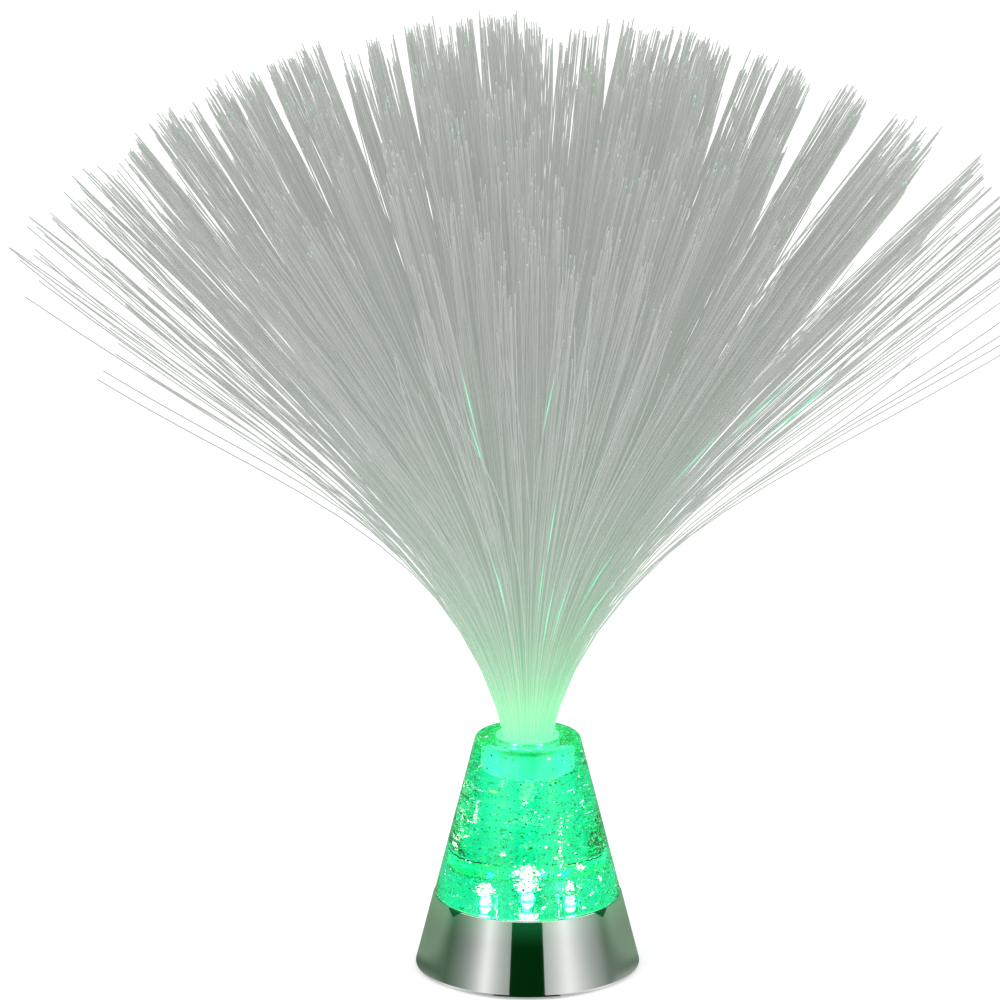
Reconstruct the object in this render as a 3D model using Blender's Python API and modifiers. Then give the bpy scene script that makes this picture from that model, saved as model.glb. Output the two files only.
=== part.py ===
"""LED fibre-optic table lamp: a battery base in a chrome skirt, a cast glitter cone
and a spray of plastic light fibres that lifts out of the cone's socket.

Metres, +Z up. The origin is on the lamp's axis, at the level that the feet stand on.
The switch is on the -Y side, the battery door hooks in at -X and is screwed at +X.
"""

import math
import random

import bmesh
import bpy
from mathutils import Matrix, Vector

# Clearances
SEAT_GAP = 0.0003
SCREW_GAP = 0.00035
CUT_OVERRUN = 0.001

# Outer form
FOOT_STANDOFF = 0.0008
TAPER_SHARE = 0.25
CRYSTAL_HEIGHT = 0.0585
CRYSTAL_INSET = 0.0003

# Battery cells and their contacts: each cell's row, and the way that its nub points
CELL_ROWS = (1, 0, -1)
CELL_WAYS = (-1, 1, -1)
CELL_RADIUS = 0.00525
CELL_LENGTH = 0.0445
CELL_SPACING = 0.0004
NUB_RADIUS = 0.0027
NUB_LENGTH = 0.001
CELL_EDGE = 0.0005
SPRING_LENGTH = 0.004
SPRING_RADIUS = 0.0028
SPRING_WIRE_RADIUS = 0.00035
SPRING_TURNS = 2.5
CONTACT_THICKNESS = 0.0004
CONTACT_HALF_WIDTH = 0.004
CONTACT_DROP = 0.0031
CONTACT_RISE = 0.0046
TAB_HALF_WIDTH = 0.001
TAB_HEIGHT = 0.0014
TAB_REACH = 0.0015

# Base cover with the battery box
COVER_THICKNESS = 0.002
COVER_GAP = 0.0005
COVER_EDGE = 0.0004
BOX_WALL = 0.0016
CELL_SIDE_ROOM = 0.00035
CELL_HEADROOM = 0.0006
RAIL_WIDTH = 0.001
RAIL_LENGTH = 0.04
RAIL_RISE = 0.0031
STANDOFF_RADIUS = 0.0028
STANDOFF_HEIGHT = 0.0015
STANDOFF_HOLE_DEPTH = 0.0022

# Battery door and its captive screw
DOOR_LAP = 0.0009
DOOR_CORNER = 0.0012
TONGUE_HALF_WIDTH = 0.0034
DOOR_PAD_RADIUS = 0.0042
DOOR_PAD_HEIGHT = 0.0032
DOOR_SCREW_OFFSET = 0.00365
DOOR_COLLAR_WALL = 0.0009
DOOR_COLLAR_ROOF = 0.0012
DOOR_POST_RADIUS = 0.0034
DOOR_POST_HEIGHT = 0.0035
DOOR_SCREW_HEAD_RADIUS = 0.0026
DOOR_SCREW_HEAD_HEIGHT = 0.0016
DOOR_SCREW_RADIUS = 0.00125
DOOR_SCREW_LENGTH = 0.005
DOOR_SCREW_SWING_GAP = 0.0004
DOOR_HEAD_RECESS = 0.0021
HOOK_HALF_WIDTH = 0.002
HOOK_INSET = 0.0002
HOOK_THICKNESS = 0.001
HOOK_RISE = 0.0006
HOOK_ROOT = 0.0012
HOOK_REACH = 0.00175
HOOK_SWING_ROOM = 0.0008
GRIP_HALF_WIDTH = 0.006
GRIP_WIDTH = 0.0008
GRIP_DEPTH = 0.0005
GRIP_PITCH = 0.0024
GRIP_COUNT = 5

# Chrome skirt
SKIRT_ROOM = 0.00214
SKIRT_WALL = 0.0018
SKIRT_FOOT_EDGE = 0.0006
SKIRT_TOP_EDGE = 0.0005
LEDGE_THICKNESS = 0.0018
LEDGE_WIDTH = 0.0057
LEDGE_CLEARANCE = 0.0021
BOSS_RADIUS = 0.003
BOSS_HOLE_DEPTH = 0.0102

# Base screws and rubber feet
PAD_RADIUS = 0.0042
PAD_HEIGHT = 0.002
BASE_SCREW_HEAD_RADIUS = 0.0027
BASE_SCREW_HEAD_HEIGHT = 0.0016
BASE_SCREW_RADIUS = 0.0014
BASE_SCREW_LENGTH = 0.0105
HEAD_SINK = 0.0002
HEAD_CROWN_SHARE = 0.35
SCREW_POINT_SHARE = 0.5
FOOT_RADIUS = 0.0045
FOOT_HEIGHT = 0.0014
FOOT_EDGE = 0.0004
FOOT_MARGIN = 0.0009
EDGE_SPACING = 0.001

# Slide switch
SWITCH_SETBACK = 0.008
SWITCH_INSET = 0.01135
SWITCH_HALF_LENGTH = 0.0045
SWITCH_HALF_WIDTH = 0.0025
SWITCH_HEIGHT = 0.004
CHANNEL_WALL = 0.0006
CHANNEL_ROOF = 0.001
KNOB_TRAVEL = 0.003
KNOB_HALF_LENGTH = 0.0013
KNOB_HALF_WIDTH = 0.001
KNOB_RIB = 0.0003
SHOULDER_HALF_LENGTH = 0.002
SHOULDER_HEIGHT = 0.0024
DISH_MARGIN = 0.0022
DISH_DEPTH = 0.0008
EAR_LENGTH = 0.0029
EAR_THICKNESS = 0.001
STAKE_RADIUS = 0.0008
STAKE_RISE = 0.0005
TERMINAL_PITCH = 0.003
TERMINAL_HALF_WIDTH = 0.0006
TERMINAL_HALF_THICKNESS = 0.0003
TERMINAL_HEIGHT = 0.0024

# Circuit board with its LEDs and resistors
BOARD_RADIUS = 0.022
BOARD_THICKNESS = 0.0016
BOARD_SCREW_INSET = 0.004
BOARD_SCREW_HEAD_RADIUS = 0.002
BOARD_SCREW_HEAD_HEIGHT = 0.0012
BOARD_SCREW_RADIUS = 0.001
BOARD_SCREW_GRIP = 0.0019
LED_RING_RADIUS = 0.013
LED_RING_COUNT = 3
LED_RADIUS = 0.0025
LED_BODY_HEIGHT = 0.0061
LED_FLANGE_LIP = 0.0004
LED_FLANGE_HEIGHT = 0.001
LED_LEG_HALF_PITCH = 0.00127
LED_LEG_HALF_WIDTH = 0.00025
LED_LEG_TAIL = 0.001
RESISTOR_COUNT = 4
RESISTOR_CIRCLE_RADIUS = 0.008
RESISTOR_RADIUS = 0.0009
RESISTOR_WAIST = 0.0002
RESISTOR_HALF_LENGTH = 0.0017
RESISTOR_LEAD_RADIUS = 0.0003
RESISTOR_LEAD_REACH = 0.0009
RESISTOR_STANDOFF = 0.0005
RESISTOR_SHOULDER_SHARE = 0.55

# Reflector and crystal
REFLECTOR_THICKNESS = 0.001
REFLECTOR_ROOM = 0.0012
REFLECTOR_HOLE_ROOM = 0.0004
SPIGOT_LENGTH = 0.0027
LED_POCKET_ROOM = 0.0008
RIM_RADIUS = 0.002
RIM_CROWN = 0.0004
CRYSTAL_FOOT_EDGE = 0.0004

# Ferrule and fibres
FERRULE_RADIUS = 0.0106
FERRULE_LENGTH = 0.0137
FERRULE_WALL = 0.001
FERRULE_LIP_WIDTH = 0.001
FERRULE_LIP_HEIGHT = 0.0008
FLANGE_OVERHANG = 0.0006
FLANGE_THICKNESS = 0.0016
BEAD_RISE = 0.0002
BEAD_WIDTH = 0.0012
BEAD_PLACE_SHARES = (0.45, 0.75)
SECTOR_COUNT = 6
FIBRE_PITCH = 0.00082
FIBRE_RINGS = range(2, 12)
FIBRE_RADIUS = 0.00026
FIBRE_LENGTH = 0.259
FIBRE_ROOT_DEPTH = 0.001
FIBRE_JITTER_SHARE = 0.12
FIBRE_SHORTEST_SHARE = 0.965
STRAGGLER_SHARE = 0.1
STRAGGLER_POWER = 8
FIBRE_BREAK_SHARES = (0.0, 0.24, 0.58, 1.0)
ROOT_TILT = math.radians(11)
TIP_TILT = math.radians(50)
EDGE_DROOP = math.radians(13)
DROOP_POWER = 12
BEND_POWER = 3.3
BEND_STEPS = 60
STRAND_SEED = 11

# Wires
WIRE_RADIUS = 0.0006
WIRE_LEAD = 0.0016
WIRE_BOARD_INSET = 0.002
WIRE_SPREAD = 0.0045
WIRE_CORNER_ROOM = 0.001

# Facets
LARGE_SIDES = 40
SOCKET_SIDES = 24
SMALL_SIDES = 16
TINY_SIDES = 12
FINE_SIDES = 8
RIM_STEPS = 3
DOME_STEPS = 3
CORNER_STEPS = 2
SLICE_STEPS = 5
STRAND_SIDES = 3
SPRING_POINTS = 8
ROUTE_STEPS = 3
TUBE_ROUNDNESS = 1
WELD_DISTANCE = 0.00001
SMOOTH_ANGLE = math.radians(35)

# Levels, worked up from the foot
SKIRT_FOOT_Z = FOOT_STANDOFF
COVER_TOP_Z = SKIRT_FOOT_Z + COVER_THICKNESS
DOOR_TOP_Z = COVER_TOP_Z - SEAT_GAP
CELL_Z = DOOR_TOP_Z + SEAT_GAP + CELL_RADIUS
BOX_CEILING_Z = CELL_Z + CELL_RADIUS + CELL_HEADROOM
BOX_ROOF_Z = BOX_CEILING_Z + BOX_WALL
STANDOFF_TOP_Z = BOX_ROOF_Z + STANDOFF_HEIGHT
BOARD_Z = STANDOFF_TOP_Z + SEAT_GAP
BOARD_TOP_Z = BOARD_Z + BOARD_THICKNESS
LED_Z = BOARD_TOP_Z + SEAT_GAP
LEDGE_Z = BOARD_TOP_Z + LEDGE_CLEARANCE
LEDGE_TOP_Z = LEDGE_Z + LEDGE_THICKNESS
REFLECTOR_Z = LEDGE_TOP_Z + SEAT_GAP
REFLECTOR_TOP_Z = REFLECTOR_Z + REFLECTOR_THICKNESS
SPIGOT_Z = REFLECTOR_TOP_Z + SEAT_GAP
CRYSTAL_FOOT_Z = SPIGOT_Z + SPIGOT_LENGTH
SKIRT_TOP_Z = CRYSTAL_FOOT_Z - SEAT_GAP
CRYSTAL_TOP_Z = CRYSTAL_FOOT_Z + CRYSTAL_HEIGHT
BOSS_FOOT_Z = COVER_TOP_Z + PAD_HEIGHT + SEAT_GAP

# Plan of the battery box
CELL_PITCH = 2 * CELL_RADIUS + CELL_SPACING
BOX_HALF_LENGTH = (CELL_LENGTH + SPRING_LENGTH) / 2 + CONTACT_THICKNESS + 2 * SEAT_GAP
BOX_HALF_WIDTH = CELL_PITCH + CELL_RADIUS + CELL_SIDE_ROOM
BOX_OUTER_X = BOX_HALF_LENGTH + BOX_WALL
BOX_OUTER_Y = BOX_HALF_WIDTH + BOX_WALL
DOOR_HALF_LENGTH = BOX_HALF_LENGTH + DOOR_LAP - SEAT_GAP
DOOR_HALF_WIDTH = BOX_HALF_WIDTH + DOOR_LAP - SEAT_GAP
DOOR_SCREW_X = BOX_OUTER_X + DOOR_SCREW_OFFSET
DOOR_PAD_TOP_Z = SKIRT_FOOT_Z + DOOR_PAD_HEIGHT
DOOR_POCKET_Z = DOOR_PAD_TOP_Z + SEAT_GAP

# Beside the box: the switch in the middle, then a screw pad and a foot on either side of it
SCREW_X = SWITCH_HALF_LENGTH + EAR_LENGTH + EDGE_SPACING + PAD_RADIUS
FOOT_X = SCREW_X + PAD_RADIUS + EDGE_SPACING + FOOT_RADIUS
NEAREST_FOOT_Y = DOOR_HALF_WIDTH + EDGE_SPACING + FOOT_RADIUS

# Round plan: the skirt is as wide as the box's corners, the feet or the switch need
SKIRT_EDGE = SKIRT_WALL + COVER_GAP
FOOT_EDGE_DISTANCE = FOOT_RADIUS + SEAT_GAP + FOOT_MARGIN
CORNER_SPREAD = SKIRT_ROOM + SKIRT_WALL + TAPER_SHARE * (BOX_ROOF_Z - SKIRT_FOOT_Z)
BASE_RADIUS = max(
    math.hypot(BOX_OUTER_X, BOX_OUTER_Y) + CORNER_SPREAD,
    math.hypot(FOOT_X, NEAREST_FOOT_Y) + FOOT_EDGE_DISTANCE + SKIRT_EDGE,
    BOX_OUTER_Y + SWITCH_SETBACK + SWITCH_INSET + SKIRT_EDGE,
)
COVER_RADIUS = BASE_RADIUS - SKIRT_EDGE
FERRULE_BORE = FERRULE_RADIUS - FERRULE_WALL
SOCKET_RADIUS = FERRULE_RADIUS + BEAD_RISE + SEAT_GAP
SLICE_RADIUS = FERRULE_BORE - SEAT_GAP
SWITCH_Y = SWITCH_INSET - COVER_RADIUS
SLOT_HALF_LENGTH = KNOB_HALF_LENGTH + KNOB_TRAVEL / 2 + SEAT_GAP
SLOT_HALF_WIDTH = KNOB_HALF_WIDTH + SEAT_GAP

QUARTERS = ((1, 1), (-1, 1), (-1, -1), (1, -1))

COLLECTION_NAME = "led_table_lamp"
CUTTER_COLLECTION_NAME = "cutters"


def skirt_radius(z):
    """Outer radius of the skirt's cone at a level."""
    return BASE_RADIUS - TAPER_SHARE * (z - SKIRT_FOOT_Z)


def crystal_radius(z):
    """Outer radius of the crystal's cone, a hair inside the skirt's."""
    return skirt_radius(z) - CRYSTAL_INSET


LEDGE_INNER_RADIUS = skirt_radius(LEDGE_TOP_Z) - SKIRT_WALL - LEDGE_WIDTH
SCREW_CIRCLE_RADIUS = LEDGE_INNER_RADIUS + LEDGE_WIDTH / 2
FOOT_CIRCLE_RADIUS = COVER_RADIUS - FOOT_EDGE_DISTANCE


def polar(radius, angle, z=0.0):
    return Vector((radius * math.cos(angle), radius * math.sin(angle), z))


def four_quarters(radius, x):
    """Points on a circle at one distance from the Y axis, mirrored into all four quarters."""
    y = math.sqrt(radius**2 - x**2)
    return [Vector((side * x, way * y, 0.0)) for side, way in QUARTERS]


BASE_SCREW_PLACES = four_quarters(SCREW_CIRCLE_RADIUS, SCREW_X)
FOOT_PLACES = four_quarters(FOOT_CIRCLE_RADIUS, FOOT_X)
BOARD_SCREW_PLACES = [
    Vector((side * (BOARD_RADIUS - BOARD_SCREW_INSET), 0.0, 0.0)) for side in (-1, 1)
]
LED_PLACES = [Vector((0.0, 0.0, 0.0))] + [
    polar(LED_RING_RADIUS, math.pi / 2 + math.tau * step / LED_RING_COUNT)
    for step in range(LED_RING_COUNT)
]


def clear_scene():
    for old in list(bpy.data.objects):
        bpy.data.objects.remove(old, do_unlink=True)


def new_collection(name):
    made = bpy.data.collections.new(name)
    bpy.context.scene.collection.children.link(made)
    return made


def move_to(piece, collection):
    for old in list(piece.users_collection):
        old.objects.unlink(piece)
    collection.objects.link(piece)


def make_material(name, colour, roughness, metallic=0.0, see_through=0.0):
    made = bpy.data.materials.new(name)
    made.use_nodes = True
    shader = made.node_tree.nodes["Principled BSDF"]
    shader.inputs["Base Color"].default_value = (*colour, 1.0)
    shader.inputs["Roughness"].default_value = roughness
    shader.inputs["Metallic"].default_value = metallic
    shader.inputs["Transmission Weight"].default_value = see_through
    made.diffuse_color = (*colour, 1.0)
    return made


def make_materials():
    return {
        "chrome": make_material("chrome", (0.86, 0.87, 0.86), 0.05, 1.0),
        "crystal": make_material("glitter_acrylic", (0.25, 0.85, 0.55), 0.04, 0.0, 0.8),
        "fibre": make_material("light_fibre", (0.40, 0.43, 0.40), 0.35, 0.0, 0.3),
        "ferrule": make_material("brushed_aluminium", (0.80, 0.82, 0.81), 0.25, 1.0),
        "housing": make_material("black_housing", (0.02, 0.02, 0.022), 0.45),
        "reflector": make_material("white_reflector", (0.88, 0.89, 0.88), 0.40),
        "board": make_material("white_board", (0.78, 0.80, 0.78), 0.35),
        "led": make_material("led_resin", (0.55, 0.95, 0.75), 0.08, 0.0, 0.7),
        "resistor": make_material("resistor_lacquer", (0.55, 0.42, 0.26), 0.40),
        "cell": make_material("cell_jacket", (0.10, 0.11, 0.12), 0.30, 0.6),
        "contact": make_material("nickel_contact", (0.76, 0.74, 0.69), 0.25, 1.0),
        "screw": make_material("zinc_screw", (0.66, 0.66, 0.64), 0.35, 1.0),
        "foot": make_material("foot_rubber", (0.03, 0.03, 0.03), 0.85),
        "knob": make_material("knob_plastic", (0.75, 0.75, 0.73), 0.40),
        "red_wire": make_material("red_insulation", (0.55, 0.03, 0.02), 0.45),
        "black_wire": make_material("black_insulation", (0.02, 0.02, 0.02), 0.45),
    }


def smooth(piece):
    piece.data.shade_smooth()
    piece.data.set_sharp_from_angle(angle=SMOOTH_ANGLE)


def box(name, x, y, z):
    """A block between the two ends given for each axis."""
    bpy.ops.mesh.primitive_cube_add(size=1.0)
    piece = bpy.context.object
    piece.name = name
    ends = (x, y, z)
    sizes = [high - low for low, high in ends]
    middle = [(low + high) / 2 for low, high in ends]
    piece.data.transform(Matrix.Diagonal((*sizes, 1.0)))
    piece.data.transform(Matrix.Translation(middle))
    return piece


def drum(name, radius, z, place=(0.0, 0.0), sides=SMALL_SIDES):
    """An upright cylinder between two levels."""
    low, high = z
    middle = (place[0], place[1], (low + high) / 2)
    bpy.ops.mesh.primitive_cylinder_add(
        vertices=sides, radius=radius, depth=high - low, location=middle
    )
    piece = bpy.context.object
    piece.name = name
    smooth(piece)
    return piece


def turned(name, outline, sides, place=(0.0, 0.0, 0.0), ring=False):
    """A revolve of (radius, level) points that run down the outer side. A ring's outline closes."""
    mesh = bpy.data.meshes.new(name)
    count = len(outline)
    edges = [(step, step + 1) for step in range(count - 1)]
    if ring:
        edges.append((count - 1, 0))
    mesh.from_pydata([(radius, 0.0, level) for radius, level in outline], edges, [])
    piece = bpy.data.objects.new(name, mesh)
    bpy.context.scene.collection.objects.link(piece)
    piece.location = place
    screw = piece.modifiers.new("turn", "SCREW")
    screw.steps = sides
    screw.render_steps = sides
    screw.use_merge_vertices = True
    screw.merge_threshold = WELD_DISTANCE
    return piece


def arc(centre, radius, start, end, steps):
    """Points of a round stretch of an outline, from one angle to another in degrees."""
    points = []
    for step in range(steps + 1):
        angle = math.radians(start + (end - start) * step / steps)
        points.append(
            (centre[0] + radius * math.cos(angle), centre[1] + radius * math.sin(angle))
        )
    return points


def flat(name, points, z):
    """A flat outline extruded between two levels."""
    low, high = z
    curve = bpy.data.curves.new(name, "CURVE")
    curve.dimensions = "2D"
    curve.fill_mode = "BOTH"
    curve.extrude = (high - low) / 2
    add_run(curve, [(point[0], point[1], 0.0) for point in points])
    curve.splines[0].use_cyclic_u = True
    piece = bpy.data.objects.new(name, curve)
    piece.location = (0.0, 0.0, (low + high) / 2)
    bpy.context.scene.collection.objects.link(piece)
    return as_mesh(piece)


def tube(name, points, radius):
    """A round wire along a list of points, with closed ends."""
    curve = bpy.data.curves.new(name, "CURVE")
    curve.dimensions = "3D"
    curve.bevel_depth = radius
    curve.bevel_resolution = TUBE_ROUNDNESS
    curve.use_fill_caps = True
    add_run(curve, points)
    piece = bpy.data.objects.new(name, curve)
    bpy.context.scene.collection.objects.link(piece)
    return piece


def add_run(curve, points):
    spline = curve.splines.new("POLY")
    spline.points.add(len(points) - 1)
    for target, point in zip(spline.points, points):
        target.co = (*point, 1.0)


def as_mesh(piece):
    """The mesh object that a curve object makes, with its caps welded on."""
    bpy.context.view_layer.update()
    graph = bpy.context.evaluated_depsgraph_get()
    mesh = bpy.data.meshes.new_from_object(piece.evaluated_get(graph))
    shape = bmesh.new()
    shape.from_mesh(mesh)
    bmesh.ops.remove_doubles(shape, verts=shape.verts, dist=WELD_DISTANCE)
    bmesh.ops.recalc_face_normals(shape, faces=shape.faces)
    shape.to_mesh(mesh)
    shape.free()
    made = bpy.data.objects.new(piece.name, mesh)
    made.matrix_world = piece.matrix_world
    bpy.context.scene.collection.objects.link(made)
    name = piece.name
    bpy.data.objects.remove(piece, do_unlink=True)
    made.name = name
    return made


def apply_all(piece):
    """The piece with its modifiers worked into its mesh."""
    bpy.context.view_layer.update()
    graph = bpy.context.evaluated_depsgraph_get()
    mesh = bpy.data.meshes.new_from_object(piece.evaluated_get(graph))
    piece.modifiers.clear()
    piece.data = mesh
    return piece


def combine(piece, operation, others):
    for other in others:
        step = piece.modifiers.new(other.name, "BOOLEAN")
        step.operation = operation
        step.solver = "EXACT"
        step.object = other
        other.hide_render = True
        other.display_type = "WIRE"
        move_to(other, bpy.data.collections[CUTTER_COLLECTION_NAME])
    return piece


def fuse(piece, *others):
    return combine(piece, "UNION", others)


def cut(piece, *others):
    return combine(piece, "DIFFERENCE", others)


def keep(piece, finish, parent):
    """Files a finished piece under the lamp, with its material."""
    move_to(piece, bpy.data.collections[COLLECTION_NAME])
    piece.data.materials.clear()
    piece.data.materials.append(finish)
    bpy.context.view_layer.update()
    place = piece.matrix_world.copy()
    piece.parent = parent
    piece.matrix_parent_inverse = parent.matrix_world.inverted()
    piece.matrix_world = place
    return piece


def empty(name, place, parent=None):
    """A joint's place, which its pieces hang from."""
    made = bpy.data.objects.new(name, None)
    made.location = place
    made.parent = parent
    bpy.data.collections[COLLECTION_NAME].objects.link(made)
    bpy.context.view_layer.update()
    return made


def spread(middle, half):
    return (middle - half, middle + half)


def make_skirt(finish, root):
    """A plated tapered ring with an inner ledge and four screw bosses under it."""
    foot_radius = skirt_radius(SKIRT_FOOT_Z)
    top_radius = skirt_radius(SKIRT_TOP_Z)
    outline = [
        (top_radius - SKIRT_TOP_EDGE, SKIRT_TOP_Z),
        (skirt_radius(SKIRT_TOP_Z - SKIRT_TOP_EDGE), SKIRT_TOP_Z - SKIRT_TOP_EDGE),
        (skirt_radius(SKIRT_FOOT_Z + SKIRT_FOOT_EDGE), SKIRT_FOOT_Z + SKIRT_FOOT_EDGE),
        (foot_radius - SKIRT_FOOT_EDGE, SKIRT_FOOT_Z),
        (foot_radius - SKIRT_WALL, SKIRT_FOOT_Z),
        (skirt_radius(LEDGE_Z) - SKIRT_WALL, LEDGE_Z),
        (LEDGE_INNER_RADIUS, LEDGE_Z),
        (LEDGE_INNER_RADIUS, LEDGE_TOP_Z),
        (skirt_radius(LEDGE_TOP_Z) - SKIRT_WALL, LEDGE_TOP_Z),
        (top_radius - SKIRT_WALL, SKIRT_TOP_Z),
    ]
    skirt = turned("chrome_skirt", outline, LARGE_SIDES, ring=True)
    boss_top = LEDGE_Z + LEDGE_THICKNESS / 2
    hole_top = BOSS_FOOT_Z + BOSS_HOLE_DEPTH
    for place in BASE_SCREW_PLACES:
        fuse(skirt, drum("boss", BOSS_RADIUS, (BOSS_FOOT_Z, boss_top), place))
    for place in BASE_SCREW_PLACES:
        levels = (BOSS_FOOT_Z - CUT_OVERRUN, hole_top)
        hole = drum("boss_hole", BASE_SCREW_RADIUS + SCREW_GAP, levels, place, TINY_SIDES)
        cut(skirt, hole)
    return keep(skirt, finish["chrome"], root)


def make_crystal(finish, root):
    """The cast cone: a spigot in the skirt, a rounded rim, the ferrule's socket and LED pockets."""
    socket_floor = CRYSTAL_TOP_Z - FERRULE_LENGTH - SEAT_GAP
    counterbore = FERRULE_RADIUS + FLANGE_OVERHANG + SEAT_GAP
    counterbore_floor = CRYSTAL_TOP_Z - FLANGE_THICKNESS - SEAT_GAP
    rim_z = CRYSTAL_TOP_Z - RIM_RADIUS
    taper_angle = math.degrees(math.atan(TAPER_SHARE))
    rim_centre = (crystal_radius(rim_z) - RIM_RADIUS, rim_z - RIM_CROWN)
    foot_z = CRYSTAL_FOOT_Z + CRYSTAL_FOOT_EDGE
    spigot_radius = skirt_radius(SKIRT_TOP_Z) - SKIRT_WALL - SEAT_GAP
    outline = [
        (0.0, socket_floor),
        (SOCKET_RADIUS, socket_floor),
        (SOCKET_RADIUS, counterbore_floor),
        (counterbore, counterbore_floor),
        (counterbore, CRYSTAL_TOP_Z),
    ]
    outline += arc(rim_centre, RIM_RADIUS, 90, taper_angle, RIM_STEPS)
    outline += [
        (crystal_radius(foot_z), foot_z),
        (crystal_radius(CRYSTAL_FOOT_Z) - CRYSTAL_FOOT_EDGE, CRYSTAL_FOOT_Z),
        (spigot_radius, CRYSTAL_FOOT_Z),
        (spigot_radius, SPIGOT_Z),
        (0.0, SPIGOT_Z),
    ]
    crystal = turned("glitter_crystal", outline, LARGE_SIDES)
    led_top = LED_Z + LED_BODY_HEIGHT + LED_RADIUS
    levels = (SPIGOT_Z - CUT_OVERRUN, led_top + LED_POCKET_ROOM)
    for place in LED_PLACES:
        radius = LED_RADIUS + LED_FLANGE_LIP + REFLECTOR_HOLE_ROOM
        cut(crystal, drum("led_pocket", radius, levels, place))
    return keep(crystal, finish["crystal"], root)


def make_reflector(finish, root):
    radius = skirt_radius(REFLECTOR_TOP_Z) - SKIRT_WALL - REFLECTOR_ROOM
    levels = (REFLECTOR_Z, REFLECTOR_TOP_Z)
    disc = drum("reflector_disc", radius, levels, sides=LARGE_SIDES)
    through = (REFLECTOR_Z - CUT_OVERRUN, REFLECTOR_TOP_Z + CUT_OVERRUN)
    for place in LED_PLACES:
        hole_radius = LED_RADIUS + LED_FLANGE_LIP + REFLECTOR_HOLE_ROOM
        cut(disc, drum("led_hole", hole_radius, through, place))
    return keep(disc, finish["reflector"], root)


def make_board(finish, root):
    """The round board on two standoffs, drilled for its screws and the LEDs' legs."""
    board = drum("led_board", BOARD_RADIUS, (BOARD_Z, BOARD_TOP_Z), sides=LARGE_SIDES)
    through = (BOARD_Z - CUT_OVERRUN, BOARD_TOP_Z + CUT_OVERRUN)
    leg_hole_radius = LED_LEG_HALF_WIDTH * math.sqrt(2) + SEAT_GAP
    for place in BOARD_SCREW_PLACES:
        hole_radius = BOARD_SCREW_RADIUS + SCREW_GAP
        cut(board, drum("board_hole", hole_radius, through, place, TINY_SIDES))
    for place in LED_PLACES:
        for side in (-1, 1):
            spot = place + Vector((side * LED_LEG_HALF_PITCH, 0.0, 0.0))
            cut(board, drum("leg_hole", leg_hole_radius, through, spot, FINE_SIDES))
    keep(board, finish["board"], root)
    for number, place in enumerate(BOARD_SCREW_PLACES, 1):
        make_screw(
            f"board_screw_{number}",
            BOARD_SCREW_HEAD_RADIUS,
            BOARD_SCREW_HEAD_HEIGHT,
            BOARD_SCREW_RADIUS,
            SEAT_GAP + BOARD_THICKNESS + SEAT_GAP + BOARD_SCREW_GRIP,
            place + Vector((0.0, 0.0, BOARD_TOP_Z + SEAT_GAP)),
            -1,
            finish["screw"],
            root,
        )


def make_screw(name, head, head_height, radius, length, place, way, finish, parent):
    """A pan-head screw whose seat is at its place and whose point goes up (1) or down (-1)."""
    crown = head_height * HEAD_CROWN_SHARE
    point = radius * SCREW_POINT_SHARE
    outline = [
        (0.0, -head_height),
        (head - crown, -head_height),
        (head, crown - head_height),
        (head, 0.0),
        (radius, 0.0),
        (radius, length - point),
        (point, length),
        (0.0, length),
    ]
    if way > 0:
        outline.reverse()
    else:
        outline = [(across, -level) for across, level in outline]
    piece = turned(name, outline, TINY_SIDES, place)
    return keep(piece, finish, parent)


def make_led(name, place, finish, root):
    """A domed LED with its flange and two legs through the board."""
    flange = LED_RADIUS + LED_FLANGE_LIP
    outline = arc((0.0, LED_BODY_HEIGHT), LED_RADIUS, 90, 0, DOME_STEPS)
    outline += [
        (LED_RADIUS, LED_FLANGE_HEIGHT),
        (flange, LED_FLANGE_HEIGHT),
        (flange, 0.0),
        (0.0, 0.0),
    ]
    led = turned(name, outline, TINY_SIDES, place + Vector((0.0, 0.0, LED_Z)))
    for side in (-1, 1):
        leg = box(
            "led_leg",
            spread(place.x + side * LED_LEG_HALF_PITCH, LED_LEG_HALF_WIDTH),
            spread(place.y, LED_LEG_HALF_WIDTH),
            (BOARD_Z - LED_LEG_TAIL, LED_Z + LED_FLANGE_HEIGHT / 2),
        )
        fuse(led, leg)
    return keep(led, finish["led"], root)


def make_leds(finish, root):
    make_led("led_centre", LED_PLACES[0], finish, root)
    for number, place in enumerate(LED_PLACES[1:], 1):
        make_led(f"led_ring_{number}", place, finish, root)


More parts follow.
